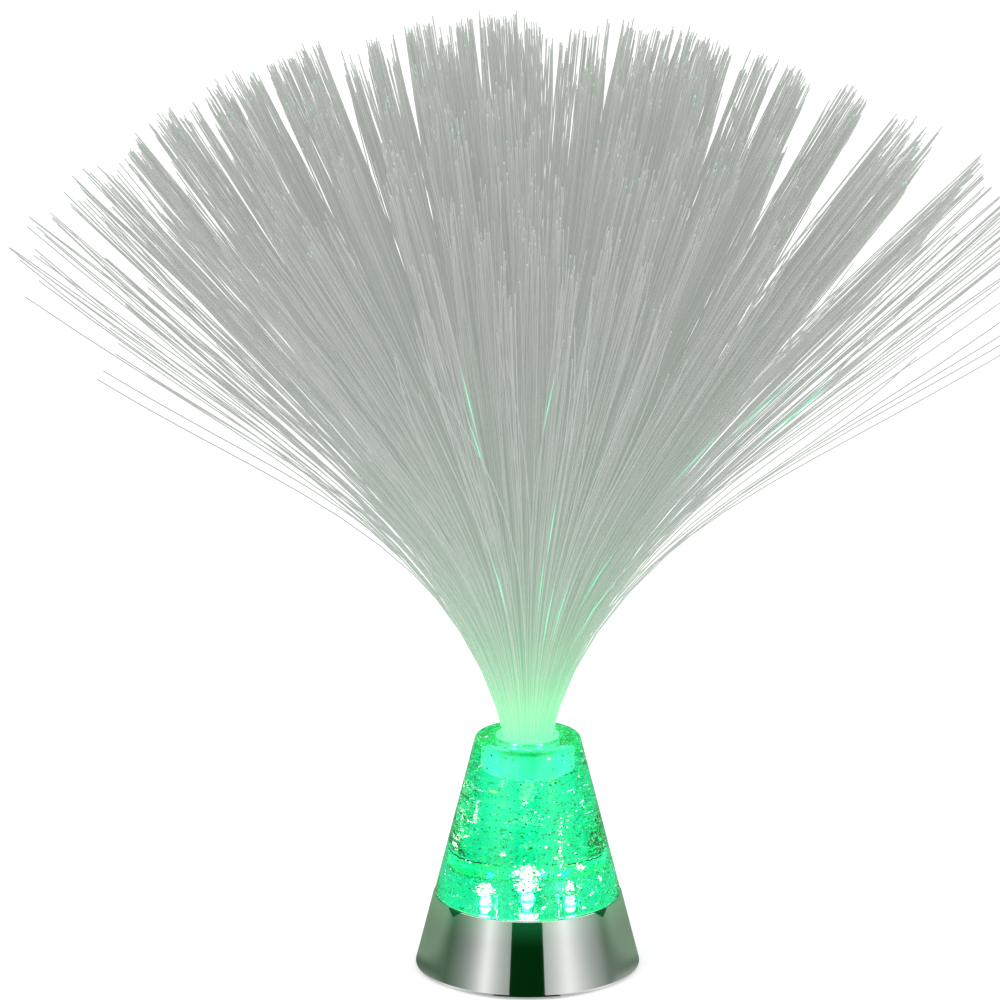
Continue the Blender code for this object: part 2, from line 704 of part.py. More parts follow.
def make_resistors(finish, root):
    """Axial resistors lying across the board's diagonals, on bent leads."""
    body_z = BOARD_TOP_Z + SEAT_GAP + RESISTOR_STANDOFF + RESISTOR_RADIUS
    lead_x = RESISTOR_HALF_LENGTH + RESISTOR_LEAD_REACH
    waist = RESISTOR_RADIUS - RESISTOR_WAIST
    end = RESISTOR_HALF_LENGTH
    shoulder = end * RESISTOR_SHOULDER_SHARE
    outline = [
        (0.0, end),
        (RESISTOR_RADIUS, end),
        (RESISTOR_RADIUS, shoulder),
        (waist, shoulder - RESISTOR_WAIST),
        (waist, RESISTOR_WAIST - shoulder),
        (RESISTOR_RADIUS, -shoulder),
        (RESISTOR_RADIUS, -end),
        (0.0, -end),
    ]
    for number in range(RESISTOR_COUNT):
        angle = math.tau * (number + 0.5) / RESISTOR_COUNT
        lie = Matrix.Translation(polar(RESISTOR_CIRCLE_RADIUS, angle, body_z))
        lie = lie @ Matrix.Rotation(angle + math.pi / 2, 4, "Z")
        body = turned(f"resistor_{number + 1}", outline, FINE_SIDES)
        body.matrix_world = lie @ Matrix.Rotation(math.pi / 2, 4, "Y")
        drop = BOARD_TOP_Z + SEAT_GAP - body_z
        bends = [(-lead_x, 0.0, drop), (-lead_x, 0.0, 0.0), (lead_x, 0.0, 0.0), (lead_x, 0.0, drop)]
        lead = tube("resistor_lead", bends, RESISTOR_LEAD_RADIUS)
        lead.matrix_world = lie
        fuse(body, as_mesh(lead))
        keep(body, finish["resistor"], root)


def door_outline(growth):
    """The door's plan with its tongue, grown all round by a clearance."""
    half_length = DOOR_HALF_LENGTH + growth
    half_width = DOOR_HALF_WIDTH + growth
    tongue = TONGUE_HALF_WIDTH + growth
    corner_x = half_length - DOOR_CORNER
    corner_y = half_width - DOOR_CORNER
    points = arc((-corner_x, -corner_y), DOOR_CORNER, 180, 270, CORNER_STEPS)
    points += arc((corner_x, -corner_y), DOOR_CORNER, 270, 360, CORNER_STEPS)
    points += [(half_length, -tongue), (DOOR_SCREW_X, -tongue)]
    points += [(DOOR_SCREW_X, tongue), (half_length, tongue)]
    points += arc((corner_x, corner_y), DOOR_CORNER, 0, 90, CORNER_STEPS)
    points += arc((-corner_x, corner_y), DOOR_CORNER, 90, 180, CORNER_STEPS)
    return points


def door_opening_tools():
    """Cutters for the door with its tongue and for the pocket over the tongue's pad."""
    low = SKIRT_FOOT_Z - CUT_OVERRUN
    pocket = DOOR_PAD_RADIUS + SEAT_GAP
    return [
        flat("door_opening", door_outline(SEAT_GAP), (low, COVER_TOP_Z)),
        drum("pad_pocket", pocket, (low, DOOR_POCKET_Z), (DOOR_SCREW_X, 0.0), SOCKET_SIDES),
    ]


def screw_recess_tools(place):
    """Cutters for a base screw's head and shank."""
    low = SKIRT_FOOT_Z - CUT_OVERRUN
    head_floor = SKIRT_FOOT_Z + HEAD_SINK + BASE_SCREW_HEAD_HEIGHT + SEAT_GAP
    head = BASE_SCREW_HEAD_RADIUS + SCREW_GAP
    shank = BASE_SCREW_RADIUS + SCREW_GAP
    return [
        drum("head_recess", head, (low, head_floor), place),
        drum("shank_hole", shank, (low, BOSS_FOOT_Z), place, TINY_SIDES),
    ]


def make_cover(finish, root):
    """The moulded base: a disc, the battery box, screw pads, standoffs and the switch slot."""
    outline = [
        (0.0, COVER_TOP_Z),
        (COVER_RADIUS, COVER_TOP_Z),
        (COVER_RADIUS, SKIRT_FOOT_Z + COVER_EDGE),
        (COVER_RADIUS - COVER_EDGE, SKIRT_FOOT_Z),
        (0.0, SKIRT_FOOT_Z),
    ]
    cover = turned("base_cover", outline, LARGE_SIDES)
    low = SKIRT_FOOT_Z - CUT_OVERRUN
    inside_plate = SKIRT_FOOT_Z + COVER_THICKNESS / 2
    collar_radius = DOOR_PAD_RADIUS + SEAT_GAP + DOOR_COLLAR_WALL
    collar_top = DOOR_POCKET_Z + DOOR_COLLAR_ROOF
    post_top = collar_top + DOOR_POST_HEIGHT
    screw_spot = (DOOR_SCREW_X, 0.0)
    box_levels = (inside_plate, BOX_ROOF_Z)
    fuse(
        cover,
        box("battery_box", spread(0.0, BOX_OUTER_X), spread(0.0, BOX_OUTER_Y), box_levels),
        drum("collar", collar_radius, (inside_plate, collar_top), screw_spot, SOCKET_SIDES),
        drum("post", DOOR_POST_RADIUS, (inside_plate, post_top), screw_spot),
    )
    for place in BASE_SCREW_PLACES:
        fuse(cover, drum("pad", PAD_RADIUS, (inside_plate, COVER_TOP_Z + PAD_HEIGHT), place))
    standoff_levels = (BOX_ROOF_Z - BOX_WALL / 2, STANDOFF_TOP_Z)
    for place in BOARD_SCREW_PLACES:
        fuse(cover, drum("standoff", STANDOFF_RADIUS, standoff_levels, place))
    interior = box(
        "box_inside",
        spread(0.0, BOX_HALF_LENGTH),
        spread(0.0, BOX_HALF_WIDTH),
        (low, BOX_CEILING_Z),
    )
    cut(cover, interior, *door_opening_tools())
    hole_radius = DOOR_SCREW_RADIUS + DOOR_SCREW_SWING_GAP
    hole_levels = (low, post_top + CUT_OVERRUN)
    cut(cover, drum("door_screw_hole", hole_radius, hole_levels, screw_spot, TINY_SIDES))
    for place in BASE_SCREW_PLACES:
        cut(cover, *screw_recess_tools(place))
    for place in FOOT_PLACES:
        levels = (low, FOOT_HEIGHT + SEAT_GAP)
        cut(cover, drum("foot_recess", FOOT_RADIUS + SEAT_GAP, levels, place))
    for place in BOARD_SCREW_PLACES:
        levels = (STANDOFF_TOP_Z - STANDOFF_HOLE_DEPTH, STANDOFF_TOP_Z + CUT_OVERRUN)
        radius = BOARD_SCREW_RADIUS + SCREW_GAP
        cut(cover, drum("standoff_hole", radius, levels, place, TINY_SIDES))
    cut(cover, *hook_notches(), *tab_slots(), *switch_openings())
    fuse(cover, *cell_rails(), *switch_stakes())
    return keep(cover, finish["housing"], root)


def hook_notches():
    """Gaps in the box's -X wall where the door's hooks pass and swing."""
    notch_top = COVER_TOP_Z + HOOK_RISE + HOOK_THICKNESS + HOOK_SWING_ROOM
    return [
        box(
            "hook_notch",
            (-BOX_OUTER_X - CUT_OVERRUN, -BOX_HALF_LENGTH + CUT_OVERRUN),
            spread(side * CELL_PITCH / 2, HOOK_HALF_WIDTH + SEAT_GAP),
            (COVER_TOP_Z, notch_top),
        )
        for side in (-1, 1)
    ]


def tab_slots():
    """Slots in the box's end walls for the solder tabs of the two outer contacts."""
    slots = []
    for end in (-1, 1):
        inner = end * (BOX_HALF_LENGTH - CUT_OVERRUN)
        outer = end * (BOX_OUTER_X + CUT_OVERRUN)
        slots.append(
            box(
                "tab_slot",
                sorted((inner, outer)),
                spread(-end * CELL_PITCH, TAB_HALF_WIDTH + SEAT_GAP),
                (CELL_Z - SEAT_GAP, CELL_Z + TAB_HEIGHT + SEAT_GAP),
            )
        )
    return slots


def switch_openings():
    """The knob's slot and the finger dish round it, in the cover's underside."""
    low = SKIRT_FOOT_Z - CUT_OVERRUN
    return [
        box(
            "knob_slot",
            spread(0.0, SLOT_HALF_LENGTH),
            spread(SWITCH_Y, SLOT_HALF_WIDTH),
            (low, COVER_TOP_Z + CUT_OVERRUN),
        ),
        box(
            "finger_dish",
            spread(0.0, SLOT_HALF_LENGTH + DISH_MARGIN),
            spread(SWITCH_Y, SLOT_HALF_WIDTH + DISH_MARGIN),
            (low, SKIRT_FOOT_Z + DISH_DEPTH),
        ),
    ]


def cell_rails():
    """Ribs under the box's roof that keep the cells apart."""
    return [
        box(
            "cell_rail",
            spread(0.0, RAIL_LENGTH / 2),
            spread(side * CELL_PITCH / 2, RAIL_WIDTH / 2),
            (CELL_Z + RAIL_RISE, BOX_CEILING_Z + BOX_WALL / 2),
        )
        for side in (-1, 1)
    ]


def stake_places():
    reach = SWITCH_HALF_LENGTH + EAR_LENGTH / 2
    return [Vector((side * reach, SWITCH_Y, 0.0)) for side in (-1, 1)]


def switch_stakes():
    """Posts that hold the switch by its ears."""
    levels = (SKIRT_FOOT_Z + COVER_THICKNESS / 2, COVER_TOP_Z + SEAT_GAP + EAR_THICKNESS + STAKE_RISE)
    return [drum("stake", STAKE_RADIUS, levels, place, FINE_SIDES) for place in stake_places()]


def make_feet(finish, root):
    outline = [
        (0.0, FOOT_HEIGHT),
        (FOOT_RADIUS, FOOT_HEIGHT),
        (FOOT_RADIUS, FOOT_EDGE),
        (FOOT_RADIUS - FOOT_EDGE, 0.0),
        (0.0, 0.0),
    ]
    for number, place in enumerate(FOOT_PLACES, 1):
        keep(turned(f"foot_{number}", outline, SMALL_SIDES, place), finish["foot"], root)


def make_base_screws(finish, root):
    seat_z = SKIRT_FOOT_Z + HEAD_SINK + BASE_SCREW_HEAD_HEIGHT
    for number, place in enumerate(BASE_SCREW_PLACES, 1):
        make_screw(
            f"base_screw_{number}",
            BASE_SCREW_HEAD_RADIUS,
            BASE_SCREW_HEAD_HEIGHT,
            BASE_SCREW_RADIUS,
            BASE_SCREW_LENGTH,
            place + Vector((0.0, 0.0, seat_z)),
            1,
            finish["screw"],
            root,
        )


def make_door(finish, root):
    """The battery door on its hooks, with a screwed tongue and finger grips."""
    hinge_place = Vector((-DOOR_HALF_LENGTH, 0.0, SKIRT_FOOT_Z))
    hinge = empty("battery_door_hinge", hinge_place, root)
    door = flat("battery_door", door_outline(0.0), (SKIRT_FOOT_Z, DOOR_TOP_Z))
    spot = (DOOR_SCREW_X, 0.0)
    pad_levels = (SKIRT_FOOT_Z, DOOR_PAD_TOP_Z)
    fuse(
        door,
        drum("tongue_pad", DOOR_PAD_RADIUS, pad_levels, spot, SOCKET_SIDES),
        *door_hooks(),
    )
    low = SKIRT_FOOT_Z - CUT_OVERRUN
    head_radius = DOOR_SCREW_HEAD_RADIUS + SCREW_GAP
    shank_radius = DOOR_SCREW_RADIUS + SCREW_GAP
    shank_levels = (low, DOOR_PAD_TOP_Z + CUT_OVERRUN)
    cut(
        door,
        drum("head_recess", head_radius, (low, SKIRT_FOOT_Z + DOOR_HEAD_RECESS), spot),
        drum("shank_hole", shank_radius, shank_levels, spot, TINY_SIDES),
        *door_grips(),
    )
    keep(door, finish["housing"], hinge)
    seat_z = SKIRT_FOOT_Z + DOOR_HEAD_RECESS - SEAT_GAP
    make_screw(
        "door_screw",
        DOOR_SCREW_HEAD_RADIUS,
        DOOR_SCREW_HEAD_HEIGHT,
        DOOR_SCREW_RADIUS,
        DOOR_SCREW_LENGTH,
        Vector((DOOR_SCREW_X, 0.0, seat_z)),
        1,
        finish["screw"],
        hinge,
    )


def door_hooks():
    """Two L-shaped hooks that reach through the box's wall, over the cover's plate."""
    edge = -DOOR_HALF_LENGTH + HOOK_INSET
    hook_low = COVER_TOP_Z + HOOK_RISE
    hook_top = hook_low + HOOK_THICKNESS
    made = []
    for side in (-1, 1):
        across = spread(side * CELL_PITCH / 2, HOOK_HALF_WIDTH)
        root_levels = (DOOR_TOP_Z - COVER_THICKNESS / 2, hook_top)
        made.append(box("hook_root", (edge, edge + HOOK_ROOT), across, root_levels))
        reach = (edge - HOOK_REACH, edge + HOOK_ROOT / 2)
        made.append(box("hook", reach, across, (hook_low, hook_top)))
    return made


def door_grips():
    """Grooves for a fingertip, near the screwed end."""
    low = SKIRT_FOOT_Z - CUT_OVERRUN
    start = DOOR_HALF_LENGTH - GRIP_PITCH
    return [
        box(
            "grip",
            spread(start - step * GRIP_PITCH, GRIP_WIDTH / 2),
            spread(0.0, GRIP_HALF_WIDTH),
            (low, SKIRT_FOOT_Z + GRIP_DEPTH),
        )
        for step in range(GRIP_COUNT)
    ]


def cell_row_y(row):
    return row * CELL_PITCH


def make_cells(finish, root):
    """Three AAA cells in series, each with its nub towards the plain contact."""
    shoulder = CELL_LENGTH - NUB_LENGTH
    outline = [
        (0.0, CELL_LENGTH),
        (NUB_RADIUS, CELL_LENGTH),
        (NUB_RADIUS, shoulder),
        (CELL_RADIUS - CELL_EDGE, shoulder),
        (CELL_RADIUS, shoulder - CELL_EDGE),
        (CELL_RADIUS, CELL_EDGE),
        (CELL_RADIUS - CELL_EDGE, 0.0),
        (0.0, 0.0),
    ]
    nub_x = BOX_HALF_LENGTH - 2 * SEAT_GAP - CONTACT_THICKNESS
    for number, (row, way) in enumerate(zip(CELL_ROWS, CELL_WAYS), 1):
        cell = turned(f"battery_{number}", outline, SMALL_SIDES)
        place = Vector((way * (nub_x - CELL_LENGTH), cell_row_y(row), CELL_Z))
        cell.matrix_world = Matrix.Translation(place) @ Matrix.Rotation(
            way * math.pi / 2, 4, "Y"
        )
        keep(cell, finish["cell"], root)


def contact_plate(name, end, rows):
    """A flat contact at one end of the box (-1 or 1), across one or two cell rows."""
    inner = BOX_HALF_LENGTH - SEAT_GAP - CONTACT_THICKNESS
    outer = BOX_HALF_LENGTH - SEAT_GAP
    across = [cell_row_y(row) for row in rows]
    return box(
        name,
        sorted((end * inner, end * outer)),
        (min(across) - CONTACT_HALF_WIDTH, max(across) + CONTACT_HALF_WIDTH),
        (CELL_Z - CONTACT_DROP, CELL_Z + CONTACT_RISE),
    )


def contact_spring(end, row):
    """The coil that presses a cell's flat end, wound from inside its plate towards the cell."""
    start = BOX_HALF_LENGTH - SEAT_GAP - CONTACT_THICKNESS / 2
    run = SPRING_LENGTH - SEAT_GAP + CONTACT_THICKNESS / 2 - SPRING_WIRE_RADIUS
    steps = round(SPRING_TURNS * SPRING_POINTS)
    points = []
    for step in range(steps + 1):
        angle = math.tau * step / SPRING_POINTS
        points.append(
            (
                end * (start - run * step / steps),
                cell_row_y(row) + SPRING_RADIUS * math.cos(angle),
                CELL_Z + SPRING_RADIUS * math.sin(angle),
            )
        )
    return as_mesh(tube("spring", points, SPRING_WIRE_RADIUS))


def solder_tab(end):
    """The tab of an outer contact, through its slot to outside the box."""
    inner = BOX_HALF_LENGTH - SEAT_GAP - CONTACT_THICKNESS / 2
    outer = BOX_OUTER_X + TAB_REACH
    return box(
        "solder_tab",
        sorted((end * inner, end * outer)),
        spread(-end * CELL_PITCH, TAB_HALF_WIDTH),
        (CELL_Z, CELL_Z + TAB_HEIGHT),
    )


def make_contacts(finish, root):
    positive = contact_plate("contact_positive", -1, (1,))
    fuse(positive, solder_tab(-1))
    bridge_1 = contact_plate("contact_bridge_1", 1, (1, 0))
    fuse(bridge_1, contact_spring(1, 1))
    bridge_2 = contact_plate("contact_bridge_2", -1, (0, -1))
    fuse(bridge_2, contact_spring(-1, 0))
    negative = contact_plate("contact_negative", 1, (-1,))
    fuse(negative, solder_tab(1), contact_spring(1, -1))
    for piece in (positive, bridge_1, bridge_2, negative):
        keep(piece, finish["contact"], root)


def make_switch(finish, root):
    """A slide switch staked to the cover, and its knob in the ON place."""
    low = COVER_TOP_Z + SEAT_GAP
    top = low + SWITCH_HEIGHT
    half_length = SWITCH_HALF_LENGTH
    body = box(
        "switch_body",
        spread(0.0, half_length),
        spread(SWITCH_Y, SWITCH_HALF_WIDTH),
        (low, top),
    )
    ears = box(
        "ears",
        spread(0.0, half_length + EAR_LENGTH),
        spread(SWITCH_Y, SWITCH_HALF_WIDTH),
        (low, low + EAR_THICKNESS),
    )
    fuse(body, ears, *switch_terminals(top))
    channel_half_width = SWITCH_HALF_WIDTH - CHANNEL_WALL
    channel_levels = (low - CUT_OVERRUN, top - CHANNEL_ROOF)
    channel_half_length = SHOULDER_HALF_LENGTH + KNOB_TRAVEL / 2 + SEAT_GAP
    cut(
        body,
        box(
            "channel",
            spread(0.0, channel_half_length),
            spread(SWITCH_Y, channel_half_width),
            channel_levels,
        ),
    )
    ear_levels = (low - CUT_OVERRUN, low + EAR_THICKNESS + CUT_OVERRUN)
    for place in stake_places():
        radius = STAKE_RADIUS + SEAT_GAP
        cut(body, drum("stake_hole", radius, ear_levels, place, FINE_SIDES))
    keep(body, finish["housing"], root)
    make_knob(finish, root, channel_half_width - SEAT_GAP)


def switch_terminals(top):
    return [
        box(
            "terminal",
            spread(side * TERMINAL_PITCH, TERMINAL_HALF_WIDTH),
            spread(SWITCH_Y, TERMINAL_HALF_THICKNESS),
            (top - CHANNEL_ROOF / 2, top + TERMINAL_HEIGHT),
        )
        for side in (-1, 0, 1)
    ]


def make_knob(finish, root, shoulder_half_width):
    """The stem through the cover's slot, its shoulder in the body's channel and grip ribs."""
    rest_x = KNOB_TRAVEL / 2
    slide = empty("switch_slide", (rest_x, SWITCH_Y, COVER_TOP_Z), root)
    shoulder_low = COVER_TOP_Z + 2 * SEAT_GAP
    stem_levels = (SKIRT_FOOT_Z + HEAD_SINK, shoulder_low + SHOULDER_HEIGHT / 2)
    knob = box(
        "switch_knob",
        spread(rest_x, KNOB_HALF_LENGTH),
        spread(SWITCH_Y, KNOB_HALF_WIDTH),
        stem_levels,
    )
    shoulder = box(
        "shoulder",
        spread(rest_x, SHOULDER_HALF_LENGTH),
        spread(SWITCH_Y, shoulder_half_width),
        (shoulder_low, shoulder_low + SHOULDER_HEIGHT),
    )
    fuse(knob, shoulder)
    rib_levels = (SKIRT_FOOT_Z - CUT_OVERRUN, SKIRT_FOOT_Z + HEAD_SINK + KNOB_RIB)
    for side in (-1, 1):
        groove = spread(rest_x + side * KNOB_HALF_LENGTH / 2, KNOB_RIB)
        across = spread(SWITCH_Y, KNOB_HALF_WIDTH + CUT_OVERRUN)
        cut(knob, box("groove", groove, across, rib_levels))
    return keep(knob, finish["knob"], slide)


def smooth_route(points, per_span):
    """Points read from a smooth curve that passes through the route's own points."""
    route = [Vector(point) for point in points]
    ends = [2 * route[0] - route[1]] + route + [2 * route[-1] - route[-2]]
    read = []
    for before, start, end, after in zip(ends, ends[1:], ends[2:], ends[3:]):
        for step in range(per_span):
            t = step / per_span
            read.append(
                (
                    2 * start
                    + (end - before) * t
                    + (2 * before - 5 * start + 4 * end - after) * t**2
                    + (3 * start - before - 3 * end + after) * t**3
                )
                / 2
            )
    return read + [route[-1]]


def make_wires(finish, root):
    """Wires from the outer contacts and the switch, up past the board's edge to its top."""
    tab_x = BOX_OUTER_X + TAB_REACH + SEAT_GAP
    tab_z = CELL_Z + TAB_HEIGHT / 2
    bend_x = tab_x + WIRE_LEAD
    corner_x = BOX_OUTER_X + WIRE_CORNER_ROOM
    corner_y = BOX_OUTER_Y + WIRE_CORNER_ROOM
    side_y = BOX_OUTER_Y + WIRE_LEAD
    rise_y = max(BOX_OUTER_Y, BOARD_RADIUS) + WIRE_LEAD
    board_y = BOARD_RADIUS - WIRE_BOARD_INSET
    board_end_z = BOARD_TOP_Z + SEAT_GAP
    over_z = board_end_z + WIRE_LEAD
    terminal_z = COVER_TOP_Z + SEAT_GAP + SWITCH_HEIGHT + TERMINAL_HEIGHT + SEAT_GAP
    arch_z = terminal_z + WIRE_LEAD
    positive = [
        (-tab_x, CELL_PITCH, tab_z),
        (-bend_x, CELL_PITCH + WIRE_LEAD, tab_z),
        (-corner_x, corner_y, (tab_z + BOARD_Z) / 2),
        (-corner_x / 2, side_y, BOARD_Z - 2 * WIRE_LEAD),
        (-WIRE_SPREAD, rise_y, BOARD_Z),
        (-WIRE_SPREAD, rise_y - WIRE_LEAD, over_z),
        (-WIRE_SPREAD, board_y, over_z),
        (-WIRE_SPREAD, board_y, board_end_z),
    ]
    negative = [
        (tab_x, -CELL_PITCH, tab_z),
        (bend_x, -CELL_PITCH - WIRE_LEAD, tab_z),
        (corner_x, -corner_y, tab_z),
        (corner_x / 2, -side_y, arch_z),
        (TERMINAL_PITCH, SWITCH_Y, arch_z),
        (TERMINAL_PITCH, SWITCH_Y, terminal_z),
    ]
    switched = [
        (0.0, SWITCH_Y, terminal_z),
        (0.0, SWITCH_Y, arch_z),
        (-WIRE_SPREAD / 2, (SWITCH_Y - rise_y) / 2, (arch_z + BOARD_Z) / 2),
        (-WIRE_SPREAD, -rise_y, BOARD_Z),
        (-WIRE_SPREAD, WIRE_LEAD - rise_y, over_z),
        (-WIRE_SPREAD, -board_y, over_z),
        (-WIRE_SPREAD, -board_y, board_end_z),
    ]
    routes = {"wire_positive": positive, "wire_negative": negative, "wire_switched": switched}
    for name, route in routes.items():
        colour = "red_wire" if name == "wire_positive" else "black_wire"
        wire = tube(name, smooth_route(route, ROUTE_STEPS), WIRE_RADIUS)
        keep(wire, finish[colour], root)


def make_ferrule(finish, spray):
    """The crimped metal cup: a flange on top, two beads round its wall and a lip under the potting."""
    top = CRYSTAL_TOP_Z
    floor = top - FERRULE_LENGTH
    flange = FERRULE_RADIUS + FLANGE_OVERHANG
    bead = FERRULE_RADIUS + BEAD_RISE
    outline = [(FERRULE_BORE, top), (flange, top), (flange, top - FLANGE_THICKNESS)]
    outline.append((FERRULE_RADIUS, top - FLANGE_THICKNESS))
    for share in BEAD_PLACE_SHARES:
        middle = top - FERRULE_LENGTH * share
        outline += [
            (FERRULE_RADIUS, middle + BEAD_WIDTH),
            (bead, middle + BEAD_WIDTH / 2),
            (bead, middle - BEAD_WIDTH / 2),
            (FERRULE_RADIUS, middle - BEAD_WIDTH),
        ]
    lip_top = floor + FERRULE_LIP_HEIGHT
    outline += [
        (FERRULE_RADIUS, floor),
        (FERRULE_BORE - FERRULE_LIP_WIDTH, floor),
        (FERRULE_BORE - FERRULE_LIP_WIDTH, lip_top),
        (FERRULE_BORE, lip_top),
    ]
    ferrule = turned("fibre_ferrule", outline, SOCKET_SIDES, ring=True)
    return keep(ferrule, finish["ferrule"], spray)


def fibre_path(spread_share, azimuth, length, root_radius, top):
    """A strand's points: upright in the middle of the spray, bowing out and over near its edge."""
    root_tilt = ROOT_TILT * spread_share
    tip_tilt = TIP_TILT * spread_share + EDGE_DROOP * spread_share**DROOP_POWER
    out, up = root_radius, 0.0
    reached = {}
    breaks = [round(share * BEND_STEPS) for share in FIBRE_BREAK_SHARES]
    step_length = length / BEND_STEPS
    for step in range(BEND_STEPS + 1):
        if step in breaks:
            reached[step] = (out, up)
        bend = 1 - (1 - (step + 0.5) / BEND_STEPS) ** BEND_POWER if step < BEND_STEPS else 1.0
        tilt = root_tilt + (tip_tilt - root_tilt) * bend
        out += step_length * math.sin(tilt)
        up += step_length * math.cos(tilt)
    first_out = root_radius - FIBRE_ROOT_DEPTH * math.sin(root_tilt)
    points = [polar(first_out, azimuth, top - FIBRE_ROOT_DEPTH)]
    for step in breaks[1:]:
        out, up = reached[step]
        points.append(polar(out, azimuth, top + up))
    return points


def strand_section():
    """The three-sided section that every strand of a sector shares."""
    curve = bpy.data.curves.new("strand_section", "CURVE")
    curve.dimensions = "2D"
    curve.fill_mode = "NONE"
    points = [polar(FIBRE_RADIUS, math.tau * step / STRAND_SIDES) for step in range(STRAND_SIDES)]
    add_run(curve, points)
    curve.splines[0].use_cyclic_u = True
    section = bpy.data.objects.new("strand_section", curve)
    section.hide_render = True
    section.display_type = "WIRE"
    bpy.data.collections[CUTTER_COLLECTION_NAME].objects.link(section)
    return section


def sector_strands(top):
    """All strands of one sector, in rings that widen from the lamp's axis."""
    jitter = random.Random(STRAND_SEED)
    half_angle = math.pi / SECTOR_COUNT
    last_ring = FIBRE_RINGS[-1]
    curve = bpy.data.curves.new("strands", "CURVE")
    curve.dimensions = "3D"
    curve.bevel_mode = "OBJECT"
    curve.bevel_object = strand_section()
    curve.use_fill_caps = True
    for ring in FIBRE_RINGS:
        count = ring - 1
        ring_radius = (ring - 0.5) * FIBRE_PITCH
        edge_room = (FIBRE_PITCH + SEAT_GAP) / 2 - FIBRE_PITCH * FIBRE_JITTER_SHARE
        usable = half_angle - math.asin(edge_room / ring_radius)
        for place in range(count):
            share = 2 * place / (count - 1) - 1 if count > 1 else 0.0
            drift = FIBRE_PITCH * FIBRE_JITTER_SHARE * (1 - abs(share))
            azimuth = usable * share + drift * jitter.uniform(-1, 1) / ring_radius
            root_radius = ring_radius + FIBRE_PITCH * FIBRE_JITTER_SHARE * jitter.uniform(-1, 1)
            edge_share = root_radius / ((last_ring - 0.5) * FIBRE_PITCH)
            spread_share = edge_share * (1 - STRAGGLER_SHARE)
            spread_share += STRAGGLER_SHARE * edge_share**STRAGGLER_POWER
            length = FIBRE_LENGTH
            if ring > FIBRE_RINGS[0]:
                length *= jitter.uniform(FIBRE_SHORTEST_SHARE, 1.0)
            add_run(curve, fibre_path(spread_share, azimuth, length, root_radius, top))
    strands = bpy.data.objects.new("strands", curve)
    bpy.context.scene.collection.objects.link(strands)
    return as_mesh(strands)


def sector_slice(top, floor):
    """The potting of one sector: a wedge with a round back, between its two levels."""
    half_angle = math.pi / SECTOR_COUNT
    inset = math.asin(SEAT_GAP / 2 / SLICE_RADIUS)
    points = [Vector((SEAT_GAP / 2 / math.sin(half_angle), 0.0, 0.0))]
    for step in range(SLICE_STEPS + 1):
        angle = (half_angle - inset) * (2 * step / SLICE_STEPS - 1)
        points.append(polar(SLICE_RADIUS, angle))
    return flat("slice", points, (floor, top))


def make_fibres(finish, spray):
    """Six equal sectors of potted fibres round the axis, which share one mesh."""
    top = CRYSTAL_TOP_Z + SEAT_GAP
    floor = CRYSTAL_TOP_Z - FERRULE_LENGTH + FERRULE_LIP_HEIGHT + SEAT_GAP
    first = sector_slice(top, floor)
    fuse(first, sector_strands(top))
    apply_all(first)
    shape = first.data
    shape.transform(first.matrix_world)
    bpy.data.objects.remove(first, do_unlink=True)
    for number in range(SECTOR_COUNT):
        sector = bpy.data.objects.new(f"fibre_sector_{number + 1}", shape)
        bpy.context.scene.collection.objects.link(sector)
        sector.rotation_euler.z = math.tau * number / SECTOR_COUNT
        keep(sector, finish["fibre"], spray)


def main():
    clear_scene()
    new_collection(COLLECTION_NAME)
    new_collection(CUTTER_COLLECTION_NAME)
    finish = make_materials()
    root = empty("lamp_base", (0.0, 0.0, 0.0))
    spray = empty("fibre_spray", (0.0, 0.0, CRYSTAL_TOP_Z), root)
    make_skirt(finish, root)
    make_crystal(finish, root)
    make_reflector(finish, root)
    make_board(finish, root)
    make_leds(finish, root)
    make_resistors(finish, root)
    make_cover(finish, root)
    make_feet(finish, root)
    make_base_screws(finish, root)
    make_door(finish, root)
    make_cells(finish, root)
    make_contacts(finish, root)
    make_switch(finish, root)
    make_wires(finish, root)
    make_ferrule(finish, spray)
    make_fibres(finish, spray)


main()
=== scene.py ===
import math

import bpy
import numpy as np
from bpy.props import FloatProperty, FloatVectorProperty, IntProperty, PointerProperty
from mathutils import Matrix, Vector


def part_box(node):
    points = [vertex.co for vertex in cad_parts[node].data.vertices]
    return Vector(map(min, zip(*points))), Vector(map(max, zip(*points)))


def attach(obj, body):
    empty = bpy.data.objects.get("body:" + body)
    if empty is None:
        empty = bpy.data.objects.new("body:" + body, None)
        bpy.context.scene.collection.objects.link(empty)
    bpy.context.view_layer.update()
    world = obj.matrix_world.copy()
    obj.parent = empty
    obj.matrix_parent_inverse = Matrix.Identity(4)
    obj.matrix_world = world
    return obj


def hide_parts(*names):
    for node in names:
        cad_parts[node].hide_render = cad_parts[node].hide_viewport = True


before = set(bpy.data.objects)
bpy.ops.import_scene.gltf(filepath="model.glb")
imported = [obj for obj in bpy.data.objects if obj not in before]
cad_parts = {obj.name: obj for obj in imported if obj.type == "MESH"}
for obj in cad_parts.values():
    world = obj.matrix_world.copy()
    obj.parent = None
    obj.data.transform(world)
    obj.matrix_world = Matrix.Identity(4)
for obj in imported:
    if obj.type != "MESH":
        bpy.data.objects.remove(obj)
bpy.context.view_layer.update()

bl_info = {
    "name": "Fibre lamp looks",
    "version": (1, 0, 0),
    "blender": (4, 5, 0),
    "location": "3D View > Sidebar > Fibre lamp",
    "description": "Finished pieces, finishes and a small studio for the fibre-optic table lamp",
    "category": "Object",
}

